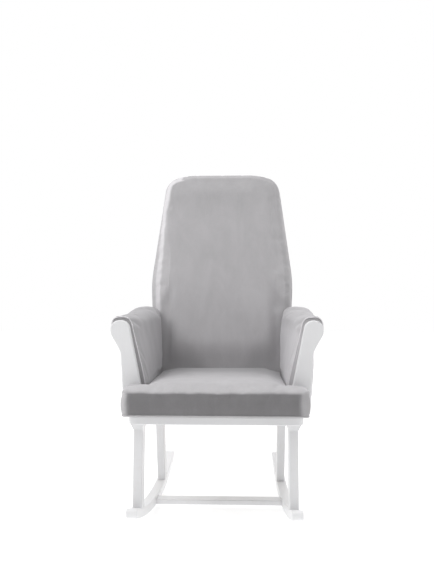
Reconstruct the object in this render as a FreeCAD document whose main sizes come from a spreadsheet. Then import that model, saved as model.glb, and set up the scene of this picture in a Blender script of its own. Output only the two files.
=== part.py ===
"""Rocking nursery chair: painted rocker base, upholstered T seat, padded arms and a tall padded back.

Millimetres and degrees. The chair faces -Y and +Z is up. Left and right are as seen from in front, so
left is -X. The origin is on the floor, midway between the rockers and under the low point where they
touch it.
"""
import FreeCAD, Part

import math
import os
import re

import Sketcher
from FreeCAD import Placement, Rotation, Vector

SIZES = {
    # the whole chair
    "plinth_half": 266,          # half the seat plinth's width
    "plinth_front": -370,
    "plinth_low": 325,
    "seat_deep": 455,            # from the plinth's front edge to the back's foot
    "back_high": 843,            # measured up the back's leaning face
    "back_lean": 11,
    # rockers and the bar between them
    "front_bend": 1568,          # radius of the underside in front of the low point
    "rear_bend": 942,            # and behind it, where the rocker turns up more sharply
    "rocker_thick": 29,
    "rocker_wide": 34,
    "rocker_ahead": 85,          # from the plinth's front edge to the front tip
    "rocker_behind": 149,        # from the plinth's rear edge to the rear tip
    "rocker_inset": 59,          # from the plinth's side to the rocker's inner face
    "toe_in": 2.24,              # how far the rockers turn towards each other at the rear
    "tip_round": 12,
    "stretcher_place": -118,     # its front edge
    "stretcher_deep": 50,
    "stretcher_thick": 16,
    "stretcher_low": 8,
    # legs, whose faces are placed where they would meet the floor
    "leg_wide": 28,
    "front_leg_ahead": 17,       # from the plinth's front edge to the leg's front face
    "front_leg_deep": 46,
    "front_leg_rake": 5,
    "rear_leg_inset": 92,        # from the plinth's rear edge to the leg's front face
    "rear_leg_deep": 43,
    "rear_leg_rake": 12,
    "capital_high": 16,
    "capital_out": 8,
    "capital_in": 3,
    # seat plinth
    "rail_thick": 24,
    "front_rail_deep": 66,
    "side_rail_wide": 70,
    "rear_rail_deep": 50,
    "plinth_behind": 21,         # what the plinth shows behind the back
    "cross_rail_ahead": 60,      # from the cross rail's front edge to the back's foot
    "plinth_round": 28,
    "wood_round": 3,
    "block_side": 45,
    "block_drop": 12,
    "block_gap": 1,
    # webbing and deck
    "strap_wide": 50,
    "strap_thick": 1.5,
    "strap_lap": 12,
    "strap_gap": 10,
    "deck_thick": 3,
    "deck_lap": 14,
    # seat cushion
    "cushion_gap": 1.5,
    "cushion_thick": 77,
    "cushion_side_gap": 6,
    "cushion_round": 16,
    "ear_side": 14,              # what an ear shows beyond the plinth
    "ear_ahead": 34,
    # arms: widths are measured out from the foot of the arm frame's inner side
    "arm_bearing": 20,           # what the arm frame covers of the plinth
    "arm_lean": 7.3,
    "arm_core_thick": 24,
    "arm_frame_high": 250,
    "arm_rail_high": 36,
    "arm_post_deep": 36,
    "arm_bolt_setback": 60,
    "web_board_thick": 4,
    "panel_setback": 68,         # from the plinth's front edge to the panel
    "panel_thick": 20,
    "panel_gap": 4,
    "panel_round": 5,
    "panel_scroll": 28,          # radius of the scrolled top
    "panel_dowel_setback": 20,
    "panel_foot_in": -27,
    "panel_foot_out": 45,
    "panel_neck_out": 54,
    "panel_top_in": 30,
    "panel_top_out": 86,
    "arm_in_front": -24,
    "arm_in_rear": -28,
    "arm_in_top_front": 16,
    "arm_in_top_rear": -24,
    "arm_out_foot": 44,
    "arm_out_neck": 54,
    "arm_out_top": 85,
    # arms: heights are measured from the top of the arm frame
    "panel_neck_up": -60,
    "panel_bulge_up": -4,
    "panel_top_up": 38,
    "arm_top_front_up": 48,
    "arm_top_rear_up": 66,
    "arm_roll": 22,
    "roll_tuck": 6,
    "arm_bend_up": 10,           # above the cushion's thickness
    "pad_gap": 1,
    # back, measured up its own leaning face
    "back_foot_drop": 10,        # how far its outline runs below the plinth's top before it is cut
    "back_foot_in": 24,          # in from the plinth's side
    "back_shoulder_in": 51,
    "back_crown": 23,            # how far the flat of the top rises above the shoulders
    "back_flat_in": 131,         # in from the plinth's side to the end of that flat
    "back_taper": 416,           # from the widest place to the top
    "back_corner": 66,
    "back_crown_bend": 240,
    "back_bend": 500,
    "back_pad_thick": 47,
    "back_pad_round": 18,
    "back_frame_thick": 30,
    "back_inset": 4,             # from the padding's outline in to the frame's
    "back_cover_thick": 7,
    "post_wide": 34,
    "crown_rail_deep": 128,
    "back_rail_high": 55,
    "back_rail_low": 40,
    "back_strap_low": 140,
    "lumbar_drop": 56,           # from the third strap's middle to the lumbar rail's lower edge
    # fasteners
    "bolt_radius": 4,
    "bolt_head_radius": 7,
    "bolt_head_thick": 5,
    "bolt_inset": 1,
    "bolt_reach": 40,
    "screw_radius": 2.5,
    "screw_head_radius": 5,
    "screw_reach": 35,
    "dowel_radius": 4,
    "dowel_reach": 14,
    "hole_gap": 0.2,
}
DERIVED = {
    "plinth_top": "plinth_low + rail_thick",
    "capital_low": "plinth_low - capital_high",
    "back_foot": "plinth_front + seat_deep",
    "back_frame_rear": "back_pad_thick + back_frame_thick",
    "back_rear": "back_frame_rear + back_cover_thick",
    "plinth_rear": "back_foot + back_rear + plinth_behind",
    "plinth_inner": "plinth_half - side_rail_wide",
    "front_rail_rear": "plinth_front + front_rail_deep",
    "cross_rail_place": "back_foot - cross_rail_ahead",
    "rocker_front": "rocker_ahead - plinth_front",
    "rocker_rear": "rocker_behind + plinth_rear",
    "rocker_gap": "plinth_half - rocker_inset",
    "rocker_place": "rocker_gap + rocker_wide / 2",
    "inner_face": "rocker_gap + rocker_wide / 2 * (1 - 1 / cos(toe_in))",
    "front_leg_place": "plinth_front - front_leg_ahead",
    "rear_leg_place": "plinth_rear - rear_leg_inset",
    "deck_low": "plinth_top + 2 * strap_thick",
    "cushion_low": "deck_low + deck_thick + cushion_gap",
    "panel_front": "plinth_front + panel_setback",
    "panel_rear": "panel_front + panel_thick",
    "arm_core_foot": "plinth_half - arm_bearing",
    "seat_half_front": "arm_core_foot + arm_in_front - cushion_side_gap",
    "seat_half_rear": "arm_core_foot + arm_in_rear - cushion_side_gap",
    "ear_half": "plinth_half + ear_side",
    "ear_front": "plinth_front - ear_ahead",
    "back_foot_half": "plinth_half - back_foot_in",
    "back_shoulder_half": "plinth_half - back_shoulder_in",
    "back_flat_half": "plinth_half - back_flat_in",
    "back_shoulder_high": "back_high - back_crown",
    "back_wide_high": "back_high - back_taper",
    "top_rail_low": "back_high - crown_rail_deep",
    "back_strap_step": "(top_rail_low - back_strap_low - strap_wide / 2 - strap_gap) / 5",
    "lumbar_rail_low": "back_strap_low + 2 * back_strap_step - lumbar_drop",
}

doc = FreeCAD.newDocument("RockingChair")
sheet = doc.addObject("Spreadsheet::Sheet", "Sizes")
parts = []


def fill_sheet():
    """Write each size in a cell of its own, named after the size."""
    rows = [(name, str(number)) for name, number in SIZES.items()]
    rows += [(name, "=" + formula) for name, formula in DERIVED.items()]
    for row, (name, content) in enumerate(rows, 1):
        sheet.set(f"A{row}", name)
        sheet.set(f"B{row}", content)
        sheet.setAlias(f"B{row}", name)
    doc.recompute()


def bound(expression):
    """The expression as an object outside the sheet writes it."""
    def lead(word):
        name = word.group(0)
        return "Sizes." + name if name in SIZES or name in DERIVED else name
    return re.sub(r"[a-z_]+", lead, expression)


def value(expression):
    return float(sheet.evalExpression(expression))


def follow(thing, **settings):
    """Bind properties of an object to expressions; double underscores stand for dots."""
    for name, expression in settings.items():
        thing.setExpression(name.replace("__", "."), bound(expression))


def place(thing, across="0", along="0", up="0", axis=Vector(0, 0, 1), angle="0"):
    """Give an object a placement that follows the sheet."""
    base = Vector(value(across), value(along), value(up))
    thing.Placement = Placement(base, Rotation(axis, value(angle)))
    follow(thing, Placement__Base__x=across, Placement__Base__y=along, Placement__Base__z=up)
    if value(angle):
        follow(thing, Placement__Rotation__Angle=angle)


def new_body(label):
    part = doc.addObject("PartDesign::Body", "Body")
    part.Label = label
    return part


def kept(part):
    parts.append(part)
    return part


def new_sketch(part, plane, offset="0"):
    """A sketch on one of the body's own planes, moved along the axis that the plane faces."""
    drawing = part.newObject("Sketcher::SketchObject", "Sketch")
    support = [item for item in part.Origin.OriginFeatures if item.Role == plane][0]
    drawing.AttachmentSupport = [(support, "")]
    drawing.MapMode = "FlatFace"
    # the XZ plane faces -Y, so a move along +Y is negative there
    follow(drawing, AttachmentOffset__Base__z=f"-({offset})" if plane == "XZ_Plane" else offset)
    return drawing


def fix_point(drawing, line, end, across, up):
    for kind, expression in (("DistanceX", across), ("DistanceY", up)):
        index = drawing.addConstraint(Sketcher.Constraint(kind, -1, 1, line, end, value(expression)))
        drawing.setExpression(f"Constraints[{index}]", bound(expression))


def outline(drawing, corners):
    """Draw a closed outline of straight lines whose corners follow the sheet."""
    first = drawing.GeometryCount
    points = [Vector(value(across), value(up), 0) for across, up in corners]
    for start, end in zip(points, points[1:] + points[:1]):
        drawing.addGeometry(Part.LineSegment(start, end), False)
    for index, (across, up) in enumerate(corners):
        line = first + index
        following = first + (index + 1) % len(corners)
        drawing.addConstraint(Sketcher.Constraint("Coincident", line, 2, following, 1))
        fix_point(drawing, line, 1, across, up)


def rectangle(left, right, low, high):
    return [(left, low), (right, low), (right, high), (left, high)]


def pad(part, drawing, length):
    """Thicken a sketch along the positive axis that crosses its plane."""
    feature = part.newObject("PartDesign::Pad", "Pad")
    feature.Profile = drawing
    feature.Reversed = drawing.AttachmentSupport[0][0].Role == "XZ_Plane"
    follow(feature, Length=length)
    return feature


def board(label, plane, corners, start, thickness):
    """A flat board: an outline on a plane, thickened from start."""
    part = new_body(label)
    drawing = new_sketch(part, plane, start)
    outline(drawing, corners)
    pad(part, drawing, thickness)
    return part


def loft(part, plane, first, first_place, second, second_place):
    """A solid between two outlines with the same number of corners."""
    sketches = []
    for corners, distance in ((first, first_place), (second, second_place)):
        drawing = new_sketch(part, plane, distance)
        outline(drawing, corners)
        sketches.append(drawing)
    feature = part.newObject("PartDesign::AdditiveLoft", "Loft")
    feature.Profile = sketches[0]
    feature.Sections = sketches[1:]
    feature.Ruled = True
    return feature


def cut_through(part, plane, corners):
    """Remove an outline's whole reach, on both sides of its plane."""
    drawing = new_sketch(part, plane)
    outline(drawing, corners)
    doc.recompute()
    before = part.Shape.Volume
    feature = part.newObject("PartDesign::Pocket", "Pocket")
    feature.Profile = drawing
    feature.Type = "ThroughAll"
    feature.Midplane = True
    doc.recompute()
    if not part.Shape.Volume < before:
        raise ValueError(part.Label + ": the cut removed nothing")


def drill(part, across, along, up, axis, radius, length):
    """A round hole that starts at a point and runs along an axis."""
    doc.recompute()
    before = part.Shape.Volume
    feature = part.newObject("PartDesign::SubtractiveCylinder", "Hole")
    shape_cylinder(feature, across, along, up, axis, radius, length)
    doc.recompute()
    if not part.Shape.Volume < before:
        raise ValueError(part.Label + ": the hole removed nothing")


def peg(part, across, along, up, axis, radius, length):
    """A round rod that starts at a point and runs along an axis."""
    feature = part.newObject("PartDesign::AdditiveCylinder", "Rod")
    shape_cylinder(feature, across, along, up, axis, radius, length)


def shape_cylinder(feature, across, along, up, axis, radius, length):
    base = Vector(value(across), value(along), value(up))
    feature.Placement = Placement(base, Rotation(Vector(0, 0, 1), axis))
    follow(feature, Placement__Base__x=across, Placement__Base__y=along, Placement__Base__z=up)
    follow(feature, Radius=radius, Height=length)


def bolt(part, across, along, up, axis, reach):
    """A bolt whose head starts at a point; reach is its shank's length."""
    peg(part, across, along, up, axis, "bolt_head_radius", "bolt_head_thick")
    top = [across, along, up]
    for index, amount in enumerate(axis):
        if amount:
            top[index] = f"{top[index]} + {int(amount)} * bolt_head_thick"
    peg(part, *top, axis, "bolt_radius", reach)


def round_edges(part, radius, chosen):
    """Round those edges of a body that a test accepts."""
    doc.recompute()
    base = part.Tip
    names = [f"Edge{number}" for number, edge in enumerate(base.Shape.Edges, 1) if chosen(edge)]
    if not names:
        raise ValueError(part.Label + ": no edge to round")
    feature = part.newObject("PartDesign::Fillet", "Round")
    feature.Base = (base, names)
    follow(feature, Radius=radius)


def runs(edge, axis):
    """Whether a straight edge runs along an axis, 0 to 2."""
    if edge.Curve.TypeId != "Part::GeomLine":
        return False
    return abs(edge.tangentAt(edge.FirstParameter)[axis]) > 0.999


def middle(edge):
    return edge.BoundBox.Center


def mirror(source, label):
    """The same piece on the chair's other side."""
    other = doc.addObject("Part::Mirroring", "Mirror")
    other.Source = source
    other.Normal = Vector(1, 0, 0)
    other.Label = label
    return other


def both_sides(source):
    """Keep a left-hand piece and its right-hand twin."""
    kept(source)
    kept(mirror(source, source.Label.replace("left", "right")))


def both_in_one(source, label):
    """Keep a left-hand group of fasteners and its twin as one group."""
    group = doc.addObject("Part::Compound", "Group")
    group.Links = [source, mirror(source, source.Label + "_twin")]
    group.Label = label
    kept(group)


def on_rocker(part):
    """Stand a piece in a rocker's own frame, over the low point and turned by its toe-in."""
    place(part, across="-rocker_place", axis=Vector(0, 0, -1), angle="toe_in")


# ---- rockers, legs and the bar between them ----

RAKE = {"front": "tan(front_leg_rake)", "rear": "-tan(rear_leg_rake)"}
LEG_TOP = {"front": "capital_low", "rear": "plinth_low"}
LEG_AXIS = "rocker_wide / 2 - leg_wide / 2"


def leg_face(end, height):
    """How far back a leg's front face is at a height."""
    return f"({end}_leg_place + {RAKE[end]} * ({height}))"


def leg_middle(end, height):
    return f"{leg_face(end, height)} + {end}_leg_deep / 2"


def rocker_arc(drawing, end, height):
    """One arc of a rocker's side view, from the low point to the tip; height is above the underside."""
    sign = {"front": -1, "rear": 1}[end]
    bend = f"{end}_bend"
    swing = math.radians(value(f"asin(rocker_{end} / {bend})"))
    low = -math.pi / 2
    angles = sorted((low, low + sign * swing))
    circle = Part.Circle(Vector(0, value(bend), 0), Vector(0, 0, 1), value(f"{bend} - ({height})"))
    arc = drawing.addGeometry(Part.ArcOfCircle(circle, *angles), False)
    fix_point(drawing, arc, 3, "0", bend)
    tip = 1 if end == "front" else 2
    reach = f"{sign} * rocker_{end} * ({bend} - ({height})) / {bend}"
    index = drawing.addConstraint(Sketcher.Constraint("DistanceX", -1, 1, arc, tip, value(reach)))
    drawing.setExpression(f"Constraints[{index}]", bound(reach))
    return arc, tip, 3 - tip


def rocker_sweep(part):
    """A rocker's side view: arcs of two radii that meet level at the low point, and radial ends."""
    drawing = new_sketch(part, "YZ_Plane", "-rocker_wide / 2")
    tips = {"front": [], "rear": []}
    for height in ("0", "rocker_thick"):
        front, front_tip, front_low = rocker_arc(drawing, "front", height)
        rear, rear_tip, rear_low = rocker_arc(drawing, "rear", height)
        fix_point(drawing, front, front_low, "0", height)
        drawing.addConstraint(Sketcher.Constraint("Coincident", rear, rear_low, front, front_low))
        tips["front"].append((front, front_tip))
        tips["rear"].append((rear, rear_tip))
    doc.recompute()
    for under, over in tips.values():
        line = drawing.addGeometry(
            Part.LineSegment(drawing.getPoint(*under), drawing.getPoint(*over)), False)
        drawing.addConstraint(Sketcher.Constraint("Coincident", line, 1, *under))
        drawing.addConstraint(Sketcher.Constraint("Coincident", line, 2, *over))
    pad(part, drawing, "rocker_wide")


def rockers():
    """Bowed rails on the floor, drilled for the leg bolts and the stretcher's screws."""
    rocker = new_body("rocker_left")
    rocker_sweep(rocker)
    tips = (value("-rocker_front") * 0.9, value("rocker_rear") * 0.9)
    round_edges(rocker, "tip_round",
                lambda edge: runs(edge, 0) and not tips[0] < middle(edge).y < tips[1])
    round_edges(rocker, "wood_round", lambda edge: edge.Length > value("rocker_rear") / 2)
    for end in ("front", "rear"):
        along = leg_middle(end, "rocker_thick")
        drill(rocker, LEG_AXIS, along, "0", Vector(0, 0, 1), "bolt_radius + hole_gap", "4 * rocker_thick")
        drill(rocker, LEG_AXIS, along, "0", Vector(0, 0, 1), "bolt_head_radius + hole_gap",
              bolt_seat(end))
    drill(rocker, "-rocker_wide / 2", stretcher_middle(), screw_height(), Vector(1, 0, 0),
          "screw_radius + hole_gap", "rocker_wide")
    drill(rocker, "-rocker_wide / 2", stretcher_middle(), screw_height(), Vector(1, 0, 0),
          "screw_head_radius + hole_gap", "bolt_head_thick")
    on_rocker(rocker)
    both_sides(rocker)


def rocker_rise(end, along):
    """How far the rocker's underside is above the floor at a distance from its low point."""
    return f"({end}_bend - sqrt({end}_bend ^ 2 - ({along}) ^ 2))"


def bolt_seat(end):
    """The height that a leg bolt's head is let into the rocker, up to its seat."""
    return rocker_rise(end, leg_middle(end, "rocker_thick")) + " + 2 * bolt_head_thick"


def bolt_end(end):
    """The height that a leg bolt reaches inside its leg."""
    return rocker_rise(end, leg_middle(end, "rocker_thick")) + " + rocker_thick + bolt_reach"


def stretcher_middle():
    return "stretcher_place + stretcher_deep / 2"


def screw_height():
    return "stretcher_low + stretcher_thick / 2"


def legs():
    """Raked legs whose feet are hollowed to sit on the rockers."""
    for end in ("front", "rear"):
        disc = new_body(f"{end}_rocker_top_disc")
        peg(disc, "-2 * rocker_wide", "0", f"{end}_bend", Vector(1, 0, 0),
            f"{end}_bend - rocker_thick", "4 * rocker_wide")
        on_rocker(disc)
        top = LEG_TOP[end]
        blank = new_body(f"{end}_leg_blank")
        drawing = new_sketch(blank, "YZ_Plane", "rocker_wide / 2 - leg_wide")
        low = leg_face(end, "0")
        high = leg_face(end, top)
        deep = f"{end}_leg_deep"
        outline(drawing, [(low, "0"), (f"{low} + {deep}", "0"), (f"{high} + {deep}", top), (high, top)])
        pad(blank, drawing, "leg_wide")
        round_edges(blank, "wood_round", lambda edge: edge.Length > value(top) * 0.9)
        drill(blank, LEG_AXIS, leg_middle(end, "rocker_thick"), "0", Vector(0, 0, 1),
              "bolt_radius + hole_gap", bolt_end(end) + " + hole_gap")
        drill(blank, LEG_AXIS, leg_middle(end, top), top + " - dowel_reach - hole_gap",
              Vector(0, 0, 1), "dowel_radius + hole_gap", "2 * dowel_reach")
        on_rocker(blank)
        leg = doc.addObject("Part::Common", "Leg")
        leg.Base = blank
        leg.Tool = disc
        leg.Label = f"{end}_leg_left"
        both_sides(leg)


def capitals():
    """Small flared blocks between the front legs and the plinth."""
    capital = new_body("front_capital_left")
    inner = "rocker_wide / 2"
    outer = "rocker_wide / 2 - leg_wide"
    face = leg_face("front", "capital_low")
    foot = rectangle(outer + " - 1", inner + " + 1", face + " - 1", face + " + front_leg_deep + 1")
    head = rectangle(outer + " - capital_out", inner + " + capital_in",
                     face + " - capital_out / 2", face + " + front_leg_deep + capital_out")
    loft(capital, "XY_Plane", foot, "capital_low", head, "plinth_low")
    drill(capital, LEG_AXIS, leg_middle("front", "capital_low"), "capital_low", Vector(0, 0, 1),
          "dowel_radius + hole_gap", "capital_high")
    on_rocker(capital)
    both_sides(capital)


def half_bar(along):
    """Half the stretcher's length where it meets the rockers' turned inner faces."""
    return f"inner_face - ({along}) * tan(toe_in)"


def stretcher():
    """A flat bar between the rockers, screwed at each end."""
    near = "stretcher_place"
    far = "stretcher_place + stretcher_deep"
    corners = [(f"-({half_bar(near)})", near), (half_bar(near), near),
               (half_bar(far), far), (f"-({half_bar(far)})", far)]
    bar = board("stretcher", "XY_Plane", corners, "stretcher_low", "stretcher_thick")
    round_edges(bar, "wood_round", lambda edge: edge.Length > value("rocker_gap"))
    across, along = turned("-rocker_wide / 2", stretcher_middle())
    toe_in = math.radians(value("toe_in"))
    for side, sign in (("", 1), ("-", -1)):
        axis = Vector(sign * math.cos(toe_in), -math.sin(toe_in), 0)
        drill(bar, f"{side}({across})", along, screw_height(), axis,
              "screw_radius + hole_gap", "rocker_wide + screw_reach")
    kept(bar)


def leg_fasteners():
    """Bolts up through the rockers, dowels above the legs and screws into the stretcher."""
    bolts = new_body("leg_bolts_left")
    dowels = new_body("leg_dowels_left")
    for end, top in LEG_TOP.items():
        seat = bolt_seat(end)
        bolt(bolts, LEG_AXIS, leg_middle(end, "rocker_thick"), seat + " - bolt_head_thick",
             Vector(0, 0, 1), f"{bolt_end(end)} - ({seat})")
        peg(dowels, LEG_AXIS, leg_middle(end, top), top + " - dowel_reach", Vector(0, 0, 1),
            "dowel_radius", f"plinth_low - {top} + 2 * dowel_reach")
    screws = new_body("stretcher_screws_left")
    outer = "-rocker_wide / 2"
    peg(screws, outer + " + bolt_inset", stretcher_middle(), screw_height(), Vector(1, 0, 0),
        "screw_head_radius", "bolt_head_thick - bolt_inset")
    peg(screws, outer + " + bolt_head_thick", stretcher_middle(), screw_height(), Vector(1, 0, 0),
        "screw_radius", "rocker_wide + screw_reach - 2 * bolt_head_thick")
    for group, label in ((bolts, "leg_bolts"), (dowels, "leg_dowels"), (screws, "stretcher_screws")):
        on_rocker(group)
        both_in_one(group, label)


# ---- seat plinth, webbing, deck and cushion ----

def turned(across, along):
    """Where a point of the left rocker's frame stands on the chair."""
    return (f"-rocker_place + ({across}) * cos(toe_in) + ({along}) * sin(toe_in)",
            f"({along}) * cos(toe_in) - ({across}) * sin(toe_in)")


def dowel_spots():
    return {end: turned(LEG_AXIS, leg_middle(end, top)) for end, top in LEG_TOP.items()}


def arm_bolt_spots():
    """Where the bolts come up through a side rail into the arm above."""
    across = "-(arm_core_foot + plinth_half) / 2"
    return [(across, "panel_rear + arm_bolt_setback"), (across, "back_foot - arm_bolt_setback")]


BACK_BOLT_ACROSS = "back_foot_half - back_inset - post_wide / 2"
BACK_BOLT_ALONG = "(back_pad_thick + 0.65 * back_frame_thick)"


def back_bolt_spot():
    """Where a bolt comes up through a side rail into the back's post."""
    return f"-({BACK_BOLT_ACROSS})", f"back_foot + {BACK_BOLT_ALONG} / cos(back_lean)"


def plinth():
    """Five flat rails that carry the seat, arms and back."""
    front = board("front_rail", "XY_Plane",
                  rectangle("-plinth_half", "plinth_half", "plinth_front", "front_rail_rear"),
                  "plinth_low", "rail_thick")
    rear_edge = value("front_rail_rear") - 1
    round_edges(front, "plinth_round", lambda edge: runs(edge, 2) and middle(edge).y < rear_edge)
    round_edges(front, "wood_round", lambda edge: not runs(edge, 2) and middle(edge).y < rear_edge)
    side = board("side_rail_left", "XY_Plane",
                 rectangle("-plinth_half", "-plinth_inner", "front_rail_rear", "plinth_rear"),
                 "plinth_low", "rail_thick")
    inner_edge = -value("plinth_inner") - 1
    round_edges(side, "wood_round", lambda edge: runs(edge, 1) and middle(edge).x < inner_edge)
    cross = board("cross_rail", "XY_Plane",
                  rectangle("-plinth_inner", "plinth_inner",
                            "cross_rail_place", "cross_rail_place + rear_rail_deep"),
                  "plinth_low", "rail_thick")
    rear = board("rear_rail", "XY_Plane",
                 rectangle("-plinth_inner", "plinth_inner", "plinth_rear - rear_rail_deep", "plinth_rear"),
                 "plinth_low", "rail_thick")
    spots = dowel_spots()
    hole = "dowel_radius + hole_gap"
    across, along = spots["front"]
    for place_across in (across, f"-({across})"):
        drill(front, place_across, along, "plinth_low", Vector(0, 0, 1), hole, "dowel_reach + hole_gap")
    drill(side, *spots["rear"], "plinth_low", Vector(0, 0, 1), hole, "dowel_reach + hole_gap")
    for spot in arm_bolt_spots() + [back_bolt_spot()]:
        drill_for_bolt(side, *spot)
    for rail in (front, cross, rear):
        kept(rail)
    both_sides(side)


def drill_for_bolt(rail, across, along):
    """A clearance hole up through a rail, with its head let into the underside."""
    drill(rail, across, along, "plinth_low", Vector(0, 0, 1), "bolt_radius + hole_gap", "rail_thick")
    drill(rail, across, along, "plinth_low", Vector(0, 0, 1), "bolt_head_radius + hole_gap",
          "bolt_head_thick + bolt_inset")


def corner_blocks():
    """Glued triangular blocks in the plinth's corners."""
    for end, edge, away in (("front", "front_rail_rear", "+"), ("rear", "cross_rail_place", "-")):
        corners = [("-plinth_inner", edge), ("-plinth_inner + block_side", edge),
                   ("-plinth_inner", f"{edge} {away} block_side")]
        block = board(f"{end}_corner_block_left", "XY_Plane", corners, "plinth_low - block_drop",
                      "rail_thick + block_drop - block_gap")
        both_sides(block)


def webbing():
    """Two crossed layers of flat straps stretched over the plinth, and the felt deck on them."""
    near = "front_rail_rear"
    far = "cross_rail_place"
    lengthwise = new_body("seat_webbing_lengthwise")
    drawing = new_sketch(lengthwise, "XY_Plane", "plinth_top")
    for strap in range(-2, 3):
        centre = f"{strap} * 0.4 * plinth_inner"
        outline(drawing, rectangle(f"{centre} - strap_wide / 2", f"{centre} + strap_wide / 2",
                                   f"{near} - strap_lap", f"{far} + strap_lap"))
    pad(lengthwise, drawing, "strap_thick")
    kept(lengthwise)
    crosswise = new_body("seat_webbing_crosswise")
    drawing = new_sketch(crosswise, "XY_Plane", "plinth_top + strap_thick")
    for strap in range(4):
        centre = f"{near} + ({far} - ({near})) * {strap + 0.5} / 4"
        outline(drawing, rectangle("-plinth_inner - strap_lap", "plinth_inner + strap_lap",
                                   f"{centre} - strap_wide / 2", f"{centre} + strap_wide / 2"))
    pad(crosswise, drawing, "strap_thick")
    kept(crosswise)
    kept(board("seat_deck", "XY_Plane",
               rectangle("-plinth_inner - deck_lap", "plinth_inner + deck_lap",
                         f"{near} - 2 * strap_lap", f"{far} + 3 * strap_lap"),
               "deck_low", "deck_thick"))


def back_line(gap, height):
    """How far back the back's front face is at a height, less a gap."""
    return f"(back_foot + (({height}) - plinth_top) * tan(back_lean) - {gap})"


def trim_to_back(part, gap):
    """Cut away what would run into the leaning back."""
    low = "plinth_low"
    high = "plinth_top + back_high"
    cut_through(part, "YZ_Plane", [(back_line(gap, low), low), ("plinth_rear + back_high", low),
                                   ("plinth_rear + back_high", high), (back_line(gap, high), high)])


def seat_cushion():
    """A T-shaped cushion whose ears wrap round in front of the arms."""
    ear_rear = "panel_front - panel_gap"
    corners = [("-ear_half", "ear_front"), ("ear_half", "ear_front"), ("ear_half", ear_rear),
               ("seat_half_front", ear_rear), ("seat_half_rear", "plinth_rear"),
               ("-seat_half_rear", "plinth_rear"), ("-seat_half_front", ear_rear),
               ("-ear_half", ear_rear)]
    cushion = board("seat_cushion", "XY_Plane", corners, "cushion_low", "cushion_thick")
    trim_to_back(cushion, "pad_gap")
    round_edges(cushion, "cushion_round",
                lambda edge: runs(edge, 2) and middle(edge).y < value("panel_front") - 1
                and abs(middle(edge).x) > value("ear_half") - 1)
    kept(cushion)


# ---- arms ----

def core(side, height):
    """The arm frame's inner (0) or outer (1) face at a height above the plinth, left side."""
    return f"-(arm_core_foot + {side} * arm_core_thick + ({height}) * tan(arm_lean))"


def core_piece(label, low, high, near, far, inner="0", outer="1"):
    """A part of the leaning arm frame, between two heights and two places along the arm."""
    corners = [(core(inner, low), f"plinth_top + {low}"), (core(outer, low), f"plinth_top + {low}"),
               (core(outer, high), f"plinth_top + {high}"), (core(inner, high), f"plinth_top + {high}")]
    return board(label, "XZ_Plane", corners, near, f"({far}) - ({near})")


def arm_frames():
    """The timber frame inside each arm, with a thin board across it."""
    near = "panel_rear"
    far = back_line("pad_gap", "plinth_top")
    top_low = "(arm_frame_high - arm_rail_high)"
    bottom = core_piece("arm_bottom_rail_left", "0", "arm_rail_high", near, far)
    for spot in arm_bolt_spots():
        drill(bottom, *spot, "plinth_top", Vector(0, 0, 1), "bolt_radius + hole_gap",
              "bolt_reach - rail_thick + 2 * hole_gap")
    top = core_piece("arm_top_rail_left", top_low, "arm_frame_high", near,
                     back_line("pad_gap", f"plinth_top + {top_low}"))
    front = core_piece("arm_front_post_left", "arm_rail_high", top_low, near, f"{near} + arm_post_deep")
    for height in panel_dowel_heights():
        drill(front, core("0.5", height), near, f"plinth_top + {height}", Vector(0, 1, 0),
              "dowel_radius + hole_gap", "dowel_reach + hole_gap")
    rear = core_piece("arm_rear_post_left", "arm_rail_high", top_low, f"{far} - arm_post_deep", far)
    web = core_piece("arm_web_board_left", "arm_rail_high", top_low, f"{near} + arm_post_deep",
                     f"{far} - arm_post_deep", "0.5", "0.5 + web_board_thick / arm_core_thick")
    for piece in (bottom, top, front, rear, web):
        both_sides(piece)


def panel_dowel_heights():
    """Heights above the plinth."""
    return ("arm_rail_high + panel_dowel_setback", "arm_frame_high - arm_rail_high - panel_dowel_setback")


def out(width):
    """A width measured out from the foot of the arm frame's inner side, left side."""
    return f"-(arm_core_foot + {width})"


def over(height):
    """A height measured from the top of the arm frame."""
    return f"(plinth_top + arm_frame_high + {height})"


def arm_panels():
    """Painted boards with a scrolled top that close the arms in front."""
    foot = "plinth_top + pad_gap"
    corners = [(out("panel_foot_in"), foot), (out("panel_top_in"), over("panel_top_up")),
               (out("panel_top_out"), over("panel_top_up")),
               (out("panel_top_out"), over("panel_bulge_up")),
               (out("panel_neck_out"), over("panel_neck_up")), (out("panel_foot_out"), foot)]
    panel = board("arm_front_panel_left", "XZ_Plane", corners, "panel_front", "panel_thick")
    high = value(over("panel_bulge_up")) - 1
    neck = value(over("panel_neck_up"))
    round_edges(panel, "panel_scroll", lambda edge: runs(edge, 1) and middle(edge).z > high)
    round_edges(panel, "3 * arm_roll", lambda edge: runs(edge, 1) and abs(middle(edge).z - neck) < 1)
    front = value("panel_front")
    round_edges(panel, "panel_round",
                lambda edge: abs(edge.BoundBox.YMax - front) < 0.1 and edge.BoundBox.ZMax > neck - 100)
    for height in panel_dowel_heights():
        drill(panel, core("0.5", height), "panel_rear", f"plinth_top + {height}", Vector(0, -1, 0),
              "dowel_radius + hole_gap", "panel_thick / 2 + hole_gap")
    both_sides(panel)


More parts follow.
